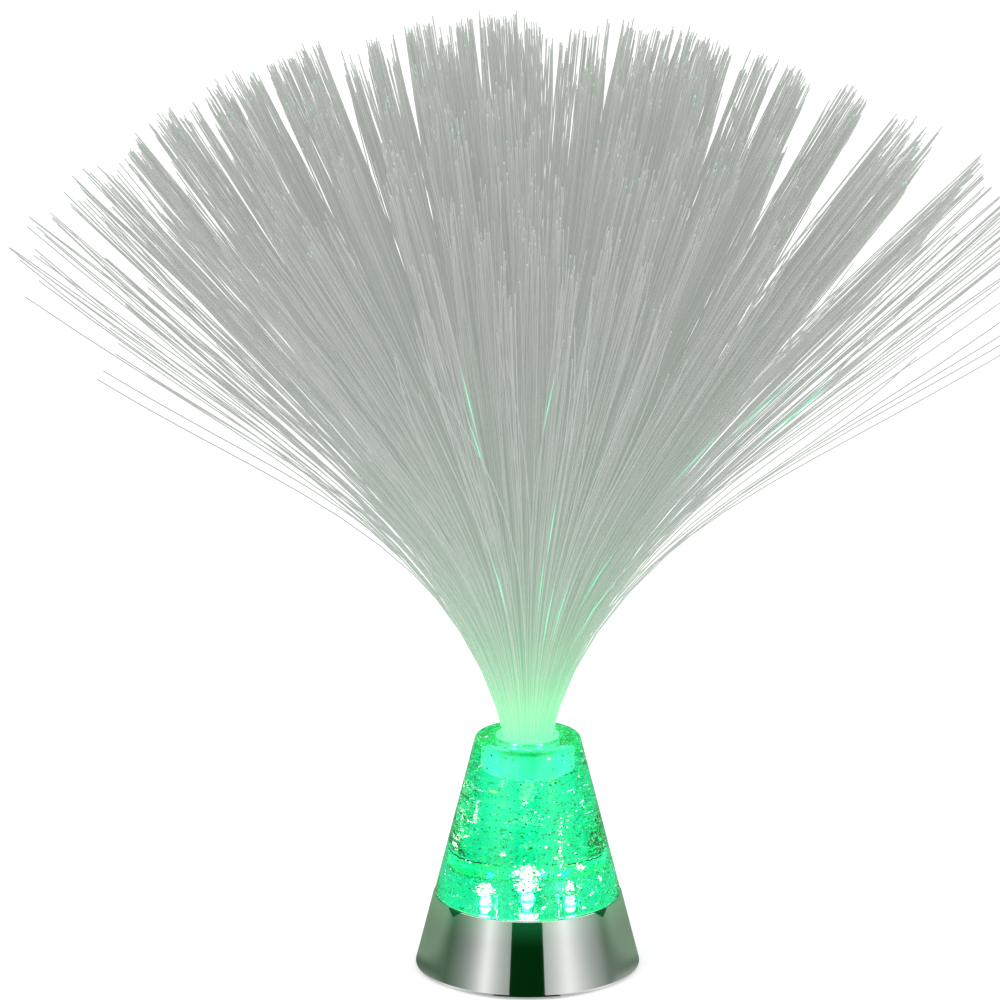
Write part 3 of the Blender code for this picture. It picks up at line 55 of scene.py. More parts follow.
SKIRT_LOW, SKIRT_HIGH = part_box("chrome_skirt")
CRYSTAL_LOW, CRYSTAL_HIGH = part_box("glitter_crystal")
FERRULE_LOW, FERRULE_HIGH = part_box("fibre_ferrule")
LED_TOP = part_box("led_centre")[1].z


def numbered(stem, count):
    """The names of like nodes, which end in numbers from one."""
    return [f"{stem}_{number}" for number in range(1, count + 1)]


def middle(name):
    """The middle of a node's box."""
    return sum(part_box(name), Vector()) / 2


SECTOR_NAMES = numbered("fibre_sector", 6)
BASE_SCREW_NAMES = numbered("base_screw", 4)
LED_NAMES = ["led_centre", *numbered("led_ring", 3)]

# Modelling: the gap round what fits into something, and how far a cutter goes past its cut
SEAT_GAP, CUT_ROOM = 0.0003, 0.001
SMOOTH_ANGLE, MERGE_DISTANCE, CORNER_STEPS = math.radians(35), 0.000005, 5

# Socket: the depth of its wider mouth, and how much narrower than the ferrule's rim its bore is
MOUTH_DEPTH, BORE_STEP = 0.0019, 0.0001

# Painted shade: dark marks painted on the skirt's rim where the gap under the cone lies in shade:
# degrees from the front, half width in degrees, depth
SHADE_MARK_HEADING, SHADE_MARK_HALF_WIDTH, SHADE_MARK_DEPTH = 51.0, 6.0, 0.0024

# Band of light in the socket's wall: how far its ends lie below the ferrule's, and their fade
BAND_TOP, BAND_FOOT, BAND_FADE = 0.0040, 0.0030, 0.0020

# Colours of the light in that wall, and of the light on the skirt's ledge
BAND_GLOW, LEDGE_GLOW = (0.60, 0.50, 0.52), (0.5, 0.95, 0.75)

# Glitter: sizes of flakes with their shares, kinds of flakes, and how far a light's glow reaches
FLAKE_SIZES, FLAKE_SHARES = (0.5, 0.75, 1.05, 1.5), (0.4, 0.35, 0.19, 0.06)
LOOSE, IN_STREAK, IN_HALO = 0, 1, 2
LIT_REACH = 0.006

# How clear the glitter keeps of the skirt's rim, the cone's skin and the socket
RIM_ROOM, SKIN_ROOM, SOCKET_ROOM = 0.0025, 0.0016, 0.0012

# Glitter that settled: a ring under the cone's top, and a dense layer at the skirt's rim
RING_FLAKES, RING_DROP, RING_WIDTH, RING_HEIGHT = 110, 0.0058, 0.0006, 0.0005
DEEP_FLAKES, DEEP_REACH, DEEP_THICKNESS = 1300, 0.029, 0.0030

# Scatter of a halo's flakes, as a share of its radius, and of a streak's, in metres
HALO_SCATTER, STREAK_SCATTER = 0.55, 0.00045

# Seeds of the glitter's and the fibres' scatter
GLITTER_SEED, SPRAY_SEED = 7, 23

# Shares of a fibre's length: how ragged the tips are, and what the outermost fibres add
RAGGEDNESS, STRAGGLER_EXTRA = 0.05, 0.07

# Rounds in which strands gather: tufts in the whole spray, and how hard each pulls
TUFTS = ((30, 0.5), (140, 0.85), (1000, 1.25))

# What the chrome shows, in degrees: soft lights (heading, falloff, strength), how far their
# middles are evened out, and a dark door between them
SOFT_LIGHTS = ((-44.5, 15.0, 1.2), (43.0, 27.0, 1.14))
LIGHT_BLUNTNESS = 4.0
DOOR_HEADING, DOOR_HALF_WIDTH = -0.7, 17.9

# Studio lamps (name, place, power), which the camera doesn't show, and the floor's own light
STUDIO_LAMPS = (("lamp_left", (-1.4, -1.2, 1.6), 9.0), ("lamp_right", (1.5, -0.9, 1.3), 6.0))
LAMP_SIZE, LAMP_TARGET = 1.2, Vector((0, 0, 0.15))
FLOOR_GLOW = 0.35

# Leaks of light on the spray, as (sideways, height above the cone), in metres
GLINT_SPOTS = (
    (-0.018, 0.115), (-0.016, 0.108), (0.0036, 0.117), (0.0042, 0.104), (0.0050, 0.043),
    (0.0065, 0.036), (0.0210, 0.046), (0.0260, 0.052), (0.0130, 0.040), (0.0800, 0.112),
    (0.0870, 0.117), (0.0950, 0.121), (0.0560, 0.098), (-0.0110, 0.050), (0.0080, 0.070),
)

# Partings that run down into the spray: (angle from upright, half width, where they start)
PARTINGS = (
    (-46.5, 0.9, 0.12), (-42.0, 0.7, 0.13), (-37.5, 0.5, 0.15), (-31.5, 0.7, 0.15),
    (-26.5, 0.5, 0.17), (-21.0, 0.5, 0.18), (-15.5, 0.7, 0.185), (-10.0, 0.5, 0.19),
    (-4.0, 0.3, 0.225), (2.2, 0.3, 0.215), (6.8, 0.55, 0.205), (11.5, 0.3, 0.22),
    (16.6, 0.6, 0.165), (20.0, 0.4, 0.19), (23.5, 0.9, 0.16), (28.5, 1.4, 0.095),
    (31.8, 0.5, 0.16), (35.2, 1.9, 0.13), (39.5, 0.5, 0.17), (44.5, 0.8, 0.13),
)

# Halos of lit glitter over the lights: x, y, z, radius, flakes
HALOS = (
    (0.0, 0.0, 0.0345, 0.0021, 300), (0.0, 0.0, 0.0298, 0.0022, 230),
    (-0.0113, -0.0065, 0.0300, 0.0020, 170), (0.0113, -0.0065, 0.0310, 0.0013, 70),
    (0.0, 0.0130, 0.0310, 0.0020, 90), (0.0140, -0.0040, 0.0370, 0.0010, 24),
)

# Streaks of lit glitter in the cone: x, y, lowest, highest, flakes
STREAKS = (
    (-0.0168, -0.012, 0.0560, 0.0640, 46), (0.0098, -0.012, 0.0370, 0.0585, 60),
    (-0.0225, -0.010, 0.0500, 0.0508, 12), (-0.0075, -0.016, 0.0455, 0.0475, 12),
    (0.0150, -0.010, 0.0390, 0.0400, 26), (0.0235, -0.012, 0.0350, 0.0360, 18),
    (-0.0010, -0.014, 0.0640, 0.0660, 10), (0.0060, -0.012, 0.0800, 0.0805, 8),
)


# Shader maths


class Term:
    """An output of a shader node. Arithmetic on it adds Math nodes to the same finish."""

    def __init__(self, finish, socket):
        self.finish = finish
        self.socket = socket

    def math(self, operation, *others):
        sockets = dict(enumerate((self, *others)))
        return self.finish.node("ShaderNodeMath", {"operation": operation}, sockets)

    def __add__(self, other):
        return self.math("ADD", other)

    __radd__ = __add__

    def __mul__(self, other):
        return self.math("MULTIPLY", other)

    __rmul__ = __mul__

    def __sub__(self, other):
        return self.math("SUBTRACT", other)

    def __rsub__(self, other):
        return self.finish.node("ShaderNodeMath", {"operation": "SUBTRACT"}, {0: other, 1: self})

    def __truediv__(self, other):
        return self.math("DIVIDE", other)

    def __rtruediv__(self, other):
        return self.finish.node("ShaderNodeMath", {"operation": "DIVIDE"}, {0: other, 1: self})

    def __gt__(self, other):
        return self.math("GREATER_THAN", other)

    def __lt__(self, other):
        return self.math("LESS_THAN", other)

    def ramp(self, low, high, start=0.0, end=1.0):
        """Start below low, end above high, and a smooth step between them."""
        return self.finish.node(
            "ShaderNodeMapRange",
            {"interpolation_type": "SMOOTHSTEP"},
            {"Value": self, 1: low, 2: high, 3: start, 4: end},
        )


class Finish:
    """A material whose nodes hang on one Principled shader. The glow of one that isn't sampled
    is seen, but doesn't count as a lamp."""

    def __init__(self, name, sampled=True, **constants):
        self.material = bpy.data.materials.new(name)
        self.material.use_nodes = True
        if not sampled:
            self.material.cycles.emission_sampling = "NONE"
        self.tree = self.material.node_tree
        self.shader = self.tree.nodes["Principled BSDF"]
        for socket, value in constants.items():
            self.shader.inputs[socket.replace("_", " ")].default_value = value
        self.place = self.node("ShaderNodeTexCoord", output="Object")

    def node(self, kind, settings=None, sockets=None, output=0):
        """Any node: its settings first, then the values or links of its sockets."""
        made = self.tree.nodes.new(kind)
        for name, value in (settings or {}).items():
            if name == "stops":
                set_stops(made.color_ramp, value)
            else:
                setattr(made, name, value)
        for name, value in (sockets or {}).items():
            self.connect(made.inputs[name], value)
        return Term(self, made.outputs[output])

    def connect(self, socket, value):
        if isinstance(value, Term):
            self.tree.links.new(value.socket, socket)
        else:
            socket.default_value = value

    def drive(self, **sockets):
        for name, value in sockets.items():
            self.connect(self.shader.inputs[name.replace("_", " ")], value)

    def axes(self):
        split = self.tree.nodes.new("ShaderNodeSeparateXYZ")
        self.connect(split.inputs[0], self.place)
        return [Term(self, output) for output in split.outputs]

    def reach(self):
        """Distance from the lamp's axis."""
        x, y, _ = self.axes()
        return (x * x + y * y).math("SQRT")

    def stretched(self, scale):
        return self.node("ShaderNodeMapping", None, {"Vector": self.place, "Scale": scale})

    def noise(self, scale, detail=2.0, place=None):
        sockets = {"Vector": place or self.place, "Scale": scale, "Detail": detail}
        return self.node("ShaderNodeTexNoise", None, sockets)

    def cells(self, scale, feature="F1", output="Distance", randomness=1.0):
        sockets = {"Vector": self.place, "Scale": scale, "Randomness": randomness}
        return self.node("ShaderNodeTexVoronoi", {"feature": feature}, sockets, output)

    def attribute(self, name):
        return self.node("ShaderNodeAttribute", {"attribute_name": name}, output="Fac")

    def bands(self, value, *stops):
        """A flat colour from each stop of a value to the next."""
        return self.node("ShaderNodeValToRGB", {"stops": stops}, {0: value})

    def mix(self, share, first, second, way="MIX"):
        """A blend of two colours."""
        settings = {"data_type": "RGBA", "blend_type": way}
        first = first if isinstance(first, Term) else (*first, 1.0)
        second = second if isinstance(second, Term) else (*second, 1.0)
        return self.node("ShaderNodeMix", settings, {0: share, 6: first, 7: second}, 2)

    def bump(self, height, distance, strength):
        sockets = {"Height": height, "Distance": distance, "Strength": strength}
        self.drive(Normal=self.node("ShaderNodeBump", None, sockets))

    def coat(self, grain, colours, roughness, bump):
        """Colour, roughness (least, spread) and bump (distance, strength) that follow a grain."""
        least, spread = roughness
        self.drive(Base_Color=self.mix(grain, *colours), Roughness=least + grain * spread)
        self.bump(grain, *bump)


def set_stops(ramp, stops):
    ramp.interpolation = "CONSTANT"
    while len(ramp.elements) < len(stops):
        ramp.elements.new(1.0)
    for element, (place, colour) in zip(ramp.elements, stops):
        element.position = place
        element.color = (*colour, 1.0)


# Modelling


def clear_choice():
    if bpy.context.object and bpy.context.object.mode != "OBJECT":
        bpy.ops.object.mode_set(mode="OBJECT")
    bpy.ops.object.select_all(action="DESELECT")


def choose(piece):
    clear_choice()
    piece.select_set(True)
    bpy.context.view_layer.objects.active = piece


def settle(piece):
    """Works the object's place into its mesh and rounds its shading."""
    choose(piece)
    bpy.ops.object.transform_apply(location=True, rotation=True, scale=True)
    bpy.ops.object.shade_smooth_by_angle(angle=SMOOTH_ANGLE)
    return piece


def turned(name, outline, sides=160):
    """A closed turned solid: a circle drawn out ring by ring through (radius, level) points.
    The outline starts and ends on the axis, or comes back to its own start."""
    clear_choice()
    on_axis = outline[0][0] == 0.0
    rings = with_support(outline[1:-1] if on_axis else outline)
    radius, level = rings[0]
    bpy.ops.mesh.primitive_circle_add(vertices=sides, radius=radius, location=(0.0, 0.0, level))
    piece = bpy.context.object
    piece.name = name
    bpy.ops.object.mode_set(mode="EDIT")
    bpy.ops.mesh.select_all(action="SELECT")
    if on_axis:
        draw_to_axis(outline[0][1] - level)
        pick_first_ring(piece, radius)
    for (before, low), (after, high) in zip(rings, rings[1:]):
        bpy.ops.mesh.extrude_region_move(TRANSFORM_OT_translate={"value": (0, 0, high - low)})
        grow = after / before
        bpy.ops.transform.resize(value=(grow, grow, 1.0), center_override=(0.0, 0.0, high))
    if on_axis:
        draw_to_axis(outline[-1][1] - rings[-1][1])
    bpy.ops.mesh.select_all(action="SELECT")
    bpy.ops.mesh.remove_doubles(threshold=MERGE_DISTANCE)
    bpy.ops.mesh.normals_make_consistent(inside=False)
    bpy.ops.object.mode_set(mode="OBJECT")
    return settle(piece)


def with_support(rings, room=0.00015, shortest=0.001):
    """Adds a ring near both ends of each long run, so that its smooth shading stays true."""
    held = [rings[0]]
    for start, end in zip(rings, rings[1:]):
        length = math.dist(start, end)
        if length > shortest:
            for share in (room / length, 1 - room / length):
                held.append(tuple(a + (b - a) * share for a, b in zip(start, end)))
        held.append(end)
    return held


def draw_to_axis(rise):
    bpy.ops.mesh.extrude_region_move(TRANSFORM_OT_translate={"value": (0, 0, rise)})
    bpy.ops.mesh.merge(type="CENTER")


def pick_first_ring(piece, radius, near=0.00001):
    """Selects the circle that a turned piece was begun with, at the level of its origin."""
    bpy.ops.mesh.select_all(action="DESELECT")
    bpy.ops.object.mode_set(mode="OBJECT")
    for vert in piece.data.vertices:
        off = abs(math.hypot(vert.co.x, vert.co.y) - radius)
        vert.select = off < near and abs(vert.co.z) < near
    bpy.ops.object.mode_set(mode="EDIT")


def rounded(centre, radius, start, end, steps):
    """(radius, level) points round a corner, from one angle to another in degrees."""
    angles = [math.radians(start + (end - start) * step / steps) for step in range(steps + 1)]
    return [(centre[0] + radius * math.cos(a), centre[1] + radius * math.sin(a)) for a in angles]


def work_round(piece, places, radius, levels, operation="DIFFERENCE", sides=48):
    """Cuts round holes in a piece, or adds round posts to it, between two levels."""
    low, high = levels
    for place in places:
        clear_choice()
        bpy.ops.mesh.primitive_cylinder_add(
            vertices=sides, radius=radius, depth=high - low,
            location=(place[0], place[1], (low + high) / 2),
        )
        tool = bpy.context.object
        choose(piece)
        step = piece.modifiers.new("round", "BOOLEAN")
        step.operation = operation
        step.solver = "EXACT"
        step.object = tool
        bpy.ops.object.modifier_apply(modifier=step.name)
        bpy.data.objects.remove(tool, do_unlink=True)
    return settle(piece)


def round_axis(radius, angle, level):
    """Points from arrays of radius, angle and level."""
    return np.stack([radius * np.cos(angle), radius * np.sin(angle), level], -1)


def mesh_piece(name, points, faces, fields):
    """An object from arrays of points and faces, with a number at each point for each field."""
    mesh = bpy.data.meshes.new(name)
    mesh.from_pydata(points.tolist(), [], faces)
    for field, values in fields.items():
        layer = mesh.attributes.new(field, "FLOAT", "POINT")
        layer.data.foreach_set("value", np.asarray(values, np.float32))
    mesh.update()
    piece = bpy.data.objects.new(name, mesh)
    bpy.context.scene.collection.objects.link(piece)
    return piece


def dress(piece, finish):
    piece.data.materials.clear()
    piece.data.materials.append(finish.material)
    return piece


def dress_nodes(names, finish):
    for name in names:
        dress(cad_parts[name], finish)


# Settings


class SpraySettings(bpy.types.PropertyGroup):
    strands: IntProperty(
        name="Strands", description="Light fibres in the whole spray", default=3900
    )
    radius: FloatProperty(
        name="Strand radius", description="Radius of one fibre", default=0.00024, unit="LENGTH"
    )
    length: FloatProperty(
        name="Strand length", description="Length of a long fibre above the cone",
        default=0.256, unit="LENGTH",
    )
    bundle: FloatProperty(
        name="Bundle radius", description="Radius of the bound bundle", default=0.0087,
        unit="LENGTH",
    )
    root_tilt: FloatProperty(
        name="Root tilt", description="Lean of the outer fibres at the ferrule",
        default=math.radians(11), unit="ROTATION",
    )
    tip_tilt: FloatProperty(
        name="Tip tilt", description="Lean of the outer fibres at their tips",
        default=math.radians(50), unit="ROTATION",
    )
    droop: FloatProperty(
        name="Droop", description="Further lean of the outermost fibres",
        default=math.radians(13), unit="ROTATION",
    )
    clumping: FloatProperty(
        name="Clumping", description="How far the tips gather into tufts", default=0.55
    )
    colour: FloatVectorProperty(
        name="Plastic", description="Colour of the unlit fibre", subtype="COLOR",
        default=(0.50, 0.52, 0.49),
    )
    glow: FloatVectorProperty(
        name="Glow", description="Colour of the light in the fibres", subtype="COLOR",
        default=(0.0, 0.70, 0.20),
    )
    haze: FloatVectorProperty(
        name="Haze", description="Light that the whole fibre scatters", subtype="COLOR",
        default=(0.172, 0.176, 0.170),
    )


class CrystalSettings(bpy.types.PropertyGroup):
    tint: FloatVectorProperty(
        name="Tint", description="Colour of light through the cone", subtype="COLOR",
        default=(0.014, 0.95, 0.43),
    )
    flakes: IntProperty(
        name="Flakes", description="Flakes that lie loose all through the cone", default=5600
    )
    flake_radius: FloatProperty(
        name="Flake radius", description="Radius of a middling flake", default=0.00034,
        unit="LENGTH",
    )
    clear_top: FloatProperty(
        name="Clear top", description="Height at the top that holds no glitter", default=0.0085,
        unit="LENGTH",
    )
    taper: FloatProperty(
        name="Taper", description="Radius lost for each metre of height", default=0.25
    )
    inset: FloatProperty(
        name="Inset", description="Step in from the skirt's line", default=0.0003, unit="LENGTH"
    )
    rim: FloatProperty(
        name="Rim radius", description="Rounding of the top edge", default=0.002, unit="LENGTH"
    )
    pocket: FloatProperty(
        name="Pocket radius", description="Radius of the pocket over a light", default=0.0033,
        unit="LENGTH",
    )
    pocket_room: FloatProperty(
        name="Pocket room", description="Room over a light in its pocket", default=0.0008,
        unit="LENGTH",
    )


class SkirtSettings(bpy.types.PropertyGroup):
    wall: FloatProperty(
        name="Wall", description="Thickness of the plated ring", default=0.0018, unit="LENGTH"
    )
    edge: FloatProperty(
        name="Edge", description="Rounding of its lower edge", default=0.0006, unit="LENGTH"
    )
    ledge_width: FloatProperty(
        name="Ledge", description="Width of the inner ledge", default=0.0057, unit="LENGTH"
    )
    ledge_top: FloatProperty(
        name="Ledge level", description="Top of the inner ledge", default=0.0228, unit="LENGTH"
    )
    ledge_thickness: FloatProperty(
        name="Ledge thickness", description="Thickness of the inner ledge", default=0.0018,
        unit="LENGTH",
    )
    boss_radius: FloatProperty(
        name="Boss radius", description="Radius of a screw boss", default=0.003, unit="LENGTH"
    )
    boss_foot: FloatProperty(
        name="Boss foot", description="Level of the bosses' lower ends", default=0.0051,
        unit="LENGTH",
    )
    boss_bore_radius: FloatProperty(
        name="Boss bore", description="Radius of the hole in a boss", default=0.00175,
        unit="LENGTH",
    )
    boss_bore_depth: FloatProperty(
        name="Boss bore depth", description="Depth of the hole in a boss", default=0.0102,
        unit="LENGTH",
    )
    colour: FloatVectorProperty(
        name="Plating", description="Colour of the chrome", subtype="COLOR",
        default=(0.86, 0.87, 0.86),
    )


class StudioSettings(bpy.types.PropertyGroup):
    distance: FloatProperty(
        name="Camera distance", description="From the lamp's axis", default=3.0, unit="LENGTH"
    )
    elevation: FloatProperty(
        name="Camera elevation", description="Above the horizon",
        default=math.radians(16.2), unit="ROTATION",
    )
    field: FloatProperty(
        name="Field of view", description="Across the square picture",
        default=math.radians(6.68), unit="ROTATION",
    )
    target: FloatVectorProperty(
        name="Target", description="The point in the middle of the picture",
        default=(-0.0098, 0.0, 0.1714), subtype="XYZ",
    )
    daylight: FloatProperty(
        name="Daylight", description="Strength of the light from all round", default=0.9
    )


# Chrome skirt


def skirt_line(level):
    """Radius of the lamp's outer line at a level."""
    looks = bpy.context.scene.lamp_crystal
    return SKIRT_HIGH.x - looks.taper * (level - SKIRT_LOW.z)


class LAMP_OT_skirt(bpy.types.Operator):
    """Turns the plated skirt with its ledge and bosses"""

    bl_idname = "lamp.skirt"
    bl_label = "Chrome skirt"

    def execute(self, context):
        sizes = context.scene.lamp_skirt
        foot, top = SKIRT_LOW.z, SKIRT_HIGH.z
        inner = skirt_line(top) - sizes.wall
        ledge_low = sizes.ledge_top - sizes.ledge_thickness
        ledge_inner = skirt_line(sizes.ledge_top) - sizes.wall - sizes.ledge_width
        slope = math.degrees(math.atan(context.scene.lamp_crystal.taper))
        edge = sizes.edge
        outline = [(skirt_line(foot) - sizes.wall, foot)]
        outline += rounded(
            (skirt_line(foot + edge) - edge, foot + edge), edge, -90, slope, CORNER_STEPS
        )
        lip = edge * 0.8
        outline += rounded(
            (skirt_line(top - lip) - lip, top - lip), lip, slope, 90, CORNER_STEPS
        )
        outline += [
            (inner, top),
            (skirt_line(sizes.ledge_top) - sizes.wall, sizes.ledge_top),
            (ledge_inner, sizes.ledge_top),
            (ledge_inner, ledge_low),
            (skirt_line(ledge_low) - sizes.wall, ledge_low),
            (skirt_line(foot) - sizes.wall, foot),
        ]
        skirt = turned("skirt_ring", outline)
        places = [middle(name) for name in BASE_SCREW_NAMES]
        low, high = sizes.boss_foot, sizes.ledge_top - sizes.ledge_thickness / 2
        work_round(skirt, places, sizes.boss_radius, (low, high), "UNION")
        bore = (low - CUT_ROOM, low + sizes.boss_bore_depth)
        work_round(skirt, places, sizes.boss_bore_radius, bore)
        dress(skirt, chrome_finish())
        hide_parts("chrome_skirt")
        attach(skirt, "base")
        return {"FINISHED"}


def chrome_finish():
    sizes = bpy.context.scene.lamp_skirt
    chrome = Finish("bright_chrome", Metallic=1.0, Emission_Strength=1.0)
    smudge = chrome.noise(45.0, 4.0)
    fine = chrome.noise(900.0, 2.0)
    x, y, z = chrome.axes()
    heading = x.math("ABSOLUTE").math("ARCTAN2", y * -1.0) * (180 / math.pi)
    # Painted shade: two dark wedges hang from the rim's top edge, either side of the front, and
    # darken the plating there
    off_shade_mark = (heading - SHADE_MARK_HEADING).math("ABSOLUTE") / SHADE_MARK_HALF_WIDTH
    painted_shade_mark = z > SKIRT_HIGH.z - SHADE_MARK_DEPTH + off_shade_mark * SHADE_MARK_DEPTH
    dulled = [part * 0.93 for part in sizes.colour]
    plate = chrome.mix(smudge.ramp(0.35, 0.75), sizes.colour, dulled)
    chrome.drive(
        Base_Color=chrome.mix(painted_shade_mark, plate, (0.01, 0.06, 0.01)),
        Roughness=0.035 + smudge * 0.03 + fine * 0.015,
    )
    chrome.bump(chrome.noise(60.0, 1.0), 0.00004, 0.35)

    # Green light that spills from the cone: a breath of it near the rim, and the whole ledge
    within_wall = SKIRT_HIGH.x - sizes.wall * 0.6
    inner = within_wall - (z - SKIRT_LOW.z) * bpy.context.scene.lamp_crystal.taper
    bathed = (chrome.reach() < inner) * (z > sizes.ledge_top - 0.0005)
    near_rim = z.ramp(SKIRT_HIGH.z - 0.010, SKIRT_HIGH.z + 0.002)
    spill = chrome.mix(near_rim, (0.0, 0.0, 0.0), (0.006, 0.10, 0.03))
    mottle = chrome.noise(260.0, 3.0).ramp(0.35, 0.65, 0.5, 1.0)
    chrome.drive(Emission_Color=chrome.mix(bathed * mottle, spill, LEDGE_GLOW))
    return chrome


# Crystal with its glitter


def crystal_line(level):
    """Radius of the cone's skin at a level."""
    return skirt_line(level) - bpy.context.scene.lamp_crystal.inset


def led_places():
    return [middle(name) for name in LED_NAMES]


class LAMP_OT_crystal(bpy.types.Operator):
    """Turns the cast cone with its spigot, rim, socket and pockets for the lights"""

    bl_idname = "lamp.crystal"
    bl_label = "Clear cone"

    def execute(self, context):
        looks = context.scene.lamp_crystal
        rim, fillet, lip, chamfer = looks.rim, 0.0006, 0.0004, 0.0006
        top, foot = CRYSTAL_HIGH.z, SKIRT_HIGH.z + SEAT_GAP
        crown = top - lip
        mouth, mouth_floor = FERRULE_HIGH.x + SEAT_GAP, top - MOUTH_DEPTH
        bore, floor = FERRULE_HIGH.x - BORE_STEP, FERRULE_LOW.z - SEAT_GAP
        slope = math.degrees(math.atan(looks.taper))
        spigot = skirt_line(SKIRT_HIGH.z) - context.scene.lamp_skirt.wall - SEAT_GAP
        outline = [(0.0, floor)]
        outline += rounded((bore - fillet, floor + fillet), fillet, -90, 0, 4)
        outline += [(bore, mouth_floor), (mouth, mouth_floor), (mouth, crown - 1.25 * lip)]
        outline += rounded((mouth + lip, crown - lip), lip, 180, 90, 3)
        outline += rounded((crystal_line(top - rim) - rim, crown - rim), rim, 90, slope, 8)
        outline += [
            (crystal_line(foot + chamfer), foot + chamfer),
            (crystal_line(foot) - chamfer * 2 / 3, foot),
            (spigot, foot),
            (spigot, CRYSTAL_LOW.z),
            (0.0, CRYSTAL_LOW.z),
        ]
        cone = turned("clear_cone", outline)
        pockets = (CRYSTAL_LOW.z - CUT_ROOM, max(LED_TOP + looks.pocket_room, CRYSTAL_LOW.z))
        work_round(cone, led_places(), looks.pocket, pockets)
        dress(cone, cone_finish())
        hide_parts("glitter_crystal")
        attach(cone, "base")
        return {"FINISHED"}


def cone_finish():
    tint = bpy.context.scene.lamp_crystal.tint
    cone = Finish(
        "cast_acrylic", sampled=False, IOR=1.49, Transmission_Weight=1.0, Emission_Strength=1.0
    )
    cloud = cone.noise(42.0, 4.0)
    streak = cone.noise(170.0, 2.0, cone.stretched((1.0, 1.0, 0.12)))
    depth = cloud.ramp(0.42, 0.70) * 0.9 + streak.ramp(0.48, 0.78) * 0.5
    deep = [part * share for part, share in zip(tint, (0.15, 0.70, 0.58))]
    cone.drive(
        Base_Color=cone.mix(depth, tint, deep), Roughness=0.004 + cone.noise(300.0) * 0.006
    )
    cone.bump(cloud + streak * 0.5, 0.0006, 0.4)
    _, _, z = cone.axes()
    top, foot = FERRULE_HIGH.z - BAND_TOP, FERRULE_LOW.z - BAND_FOOT
    band = z.ramp(top - BAND_FADE, top, 1.0, 0.0) * z.ramp(foot, foot + BAND_FADE)
    in_bore = cone.reach() < FERRULE_HIGH.x + 2 * SEAT_GAP
    cone.drive(Emission_Color=cone.mix(in_bore * band, (0.0, 0.0, 0.0), BAND_GLOW))
    return cone


class LAMP_OT_glitter(bpy.types.Operator):
    """Scatters the six-sided glitter flakes through the cone"""

    bl_idname = "lamp.glitter"
    bl_label = "Glitter"

    def execute(self, context):
        looks = context.scene.lamp_crystal
        points, faces = flake_shape()
        chance = np.random.default_rng(GLITTER_SEED)
        places, kind = flake_places(chance, looks.flakes)
        count = len(places)
        turn = random_turns(chance, count)
        size = looks.flake_radius * chance.choice(FLAKE_SIZES, count, p=FLAKE_SHARES)
        spots = np.einsum("nij,kj->nki", turn, points) * size[:, None, None] + places[:, None, :]
        spark = chance.random(count)
        lights = np.array(led_places())
        lights[:, 2] = LED_TOP
        gap = np.linalg.norm(places[:, None] - lights[None], axis=2).min(1)
        lit = np.exp(-gap / LIT_REACH)
        lit = np.where(kind == IN_STREAK, chance.uniform(0.3, 0.9, count), lit)
        lit = np.where(kind == IN_HALO, chance.uniform(0.45, 1.0, count), lit)
        all_faces = [
            tuple(corner + step * len(points) for corner in face)
            for step in range(count)
            for face in faces
        ]
        fields = {"spark": np.repeat(spark, len(points)), "lit": np.repeat(lit, len(points))}
        glitter = mesh_piece("glitter_flakes", spots.reshape(-1, 3), all_faces, fields)
        dress(glitter, flake_finish())
        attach(glitter, "base")
        return {"FINISHED"}


def flake_shape(rise=0.12):
    """A thin six-sided flake of radius one, with a raised middle."""
    clear_choice()
    bpy.ops.mesh.primitive_cone_add(
        vertices=6, radius1=1.0, radius2=0.0, depth=rise, location=(0, 0, rise / 2)
    )
    flake = bpy.context.object
    bpy.ops.object.mode_set(mode="EDIT")
    bpy.ops.mesh.select_all(action="SELECT")
    bpy.ops.mesh.normals_make_consistent(inside=False)
    bpy.ops.object.mode_set(mode="OBJECT")
    bpy.ops.object.transform_apply(location=True, rotation=True, scale=True)
    points = np.array([vert.co[:] for vert in flake.data.vertices])
    faces = [tuple(face.vertices) for face in flake.data.polygons]
    bpy.data.objects.remove(flake, do_unlink=True)
    return points, faces


def random_turns(chance, count):
    """Turning matrices spread evenly over all ways."""
    four = chance.normal(size=(count, 4))
    w, x, y, z = (four / np.linalg.norm(four, axis=1)[:, None]).T
    rows = [
        [1 - 2 * (y * y + z * z), 2 * (x * y - z * w), 2 * (x * z + y * w)],
        [2 * (x * y + z * w), 1 - 2 * (x * x + z * z), 2 * (y * z - x * w)],
        [2 * (x * z - y * w), 2 * (y * z + x * w), 1 - 2 * (x * x + y * y)],
    ]
    return np.array(rows).transpose(2, 0, 1)


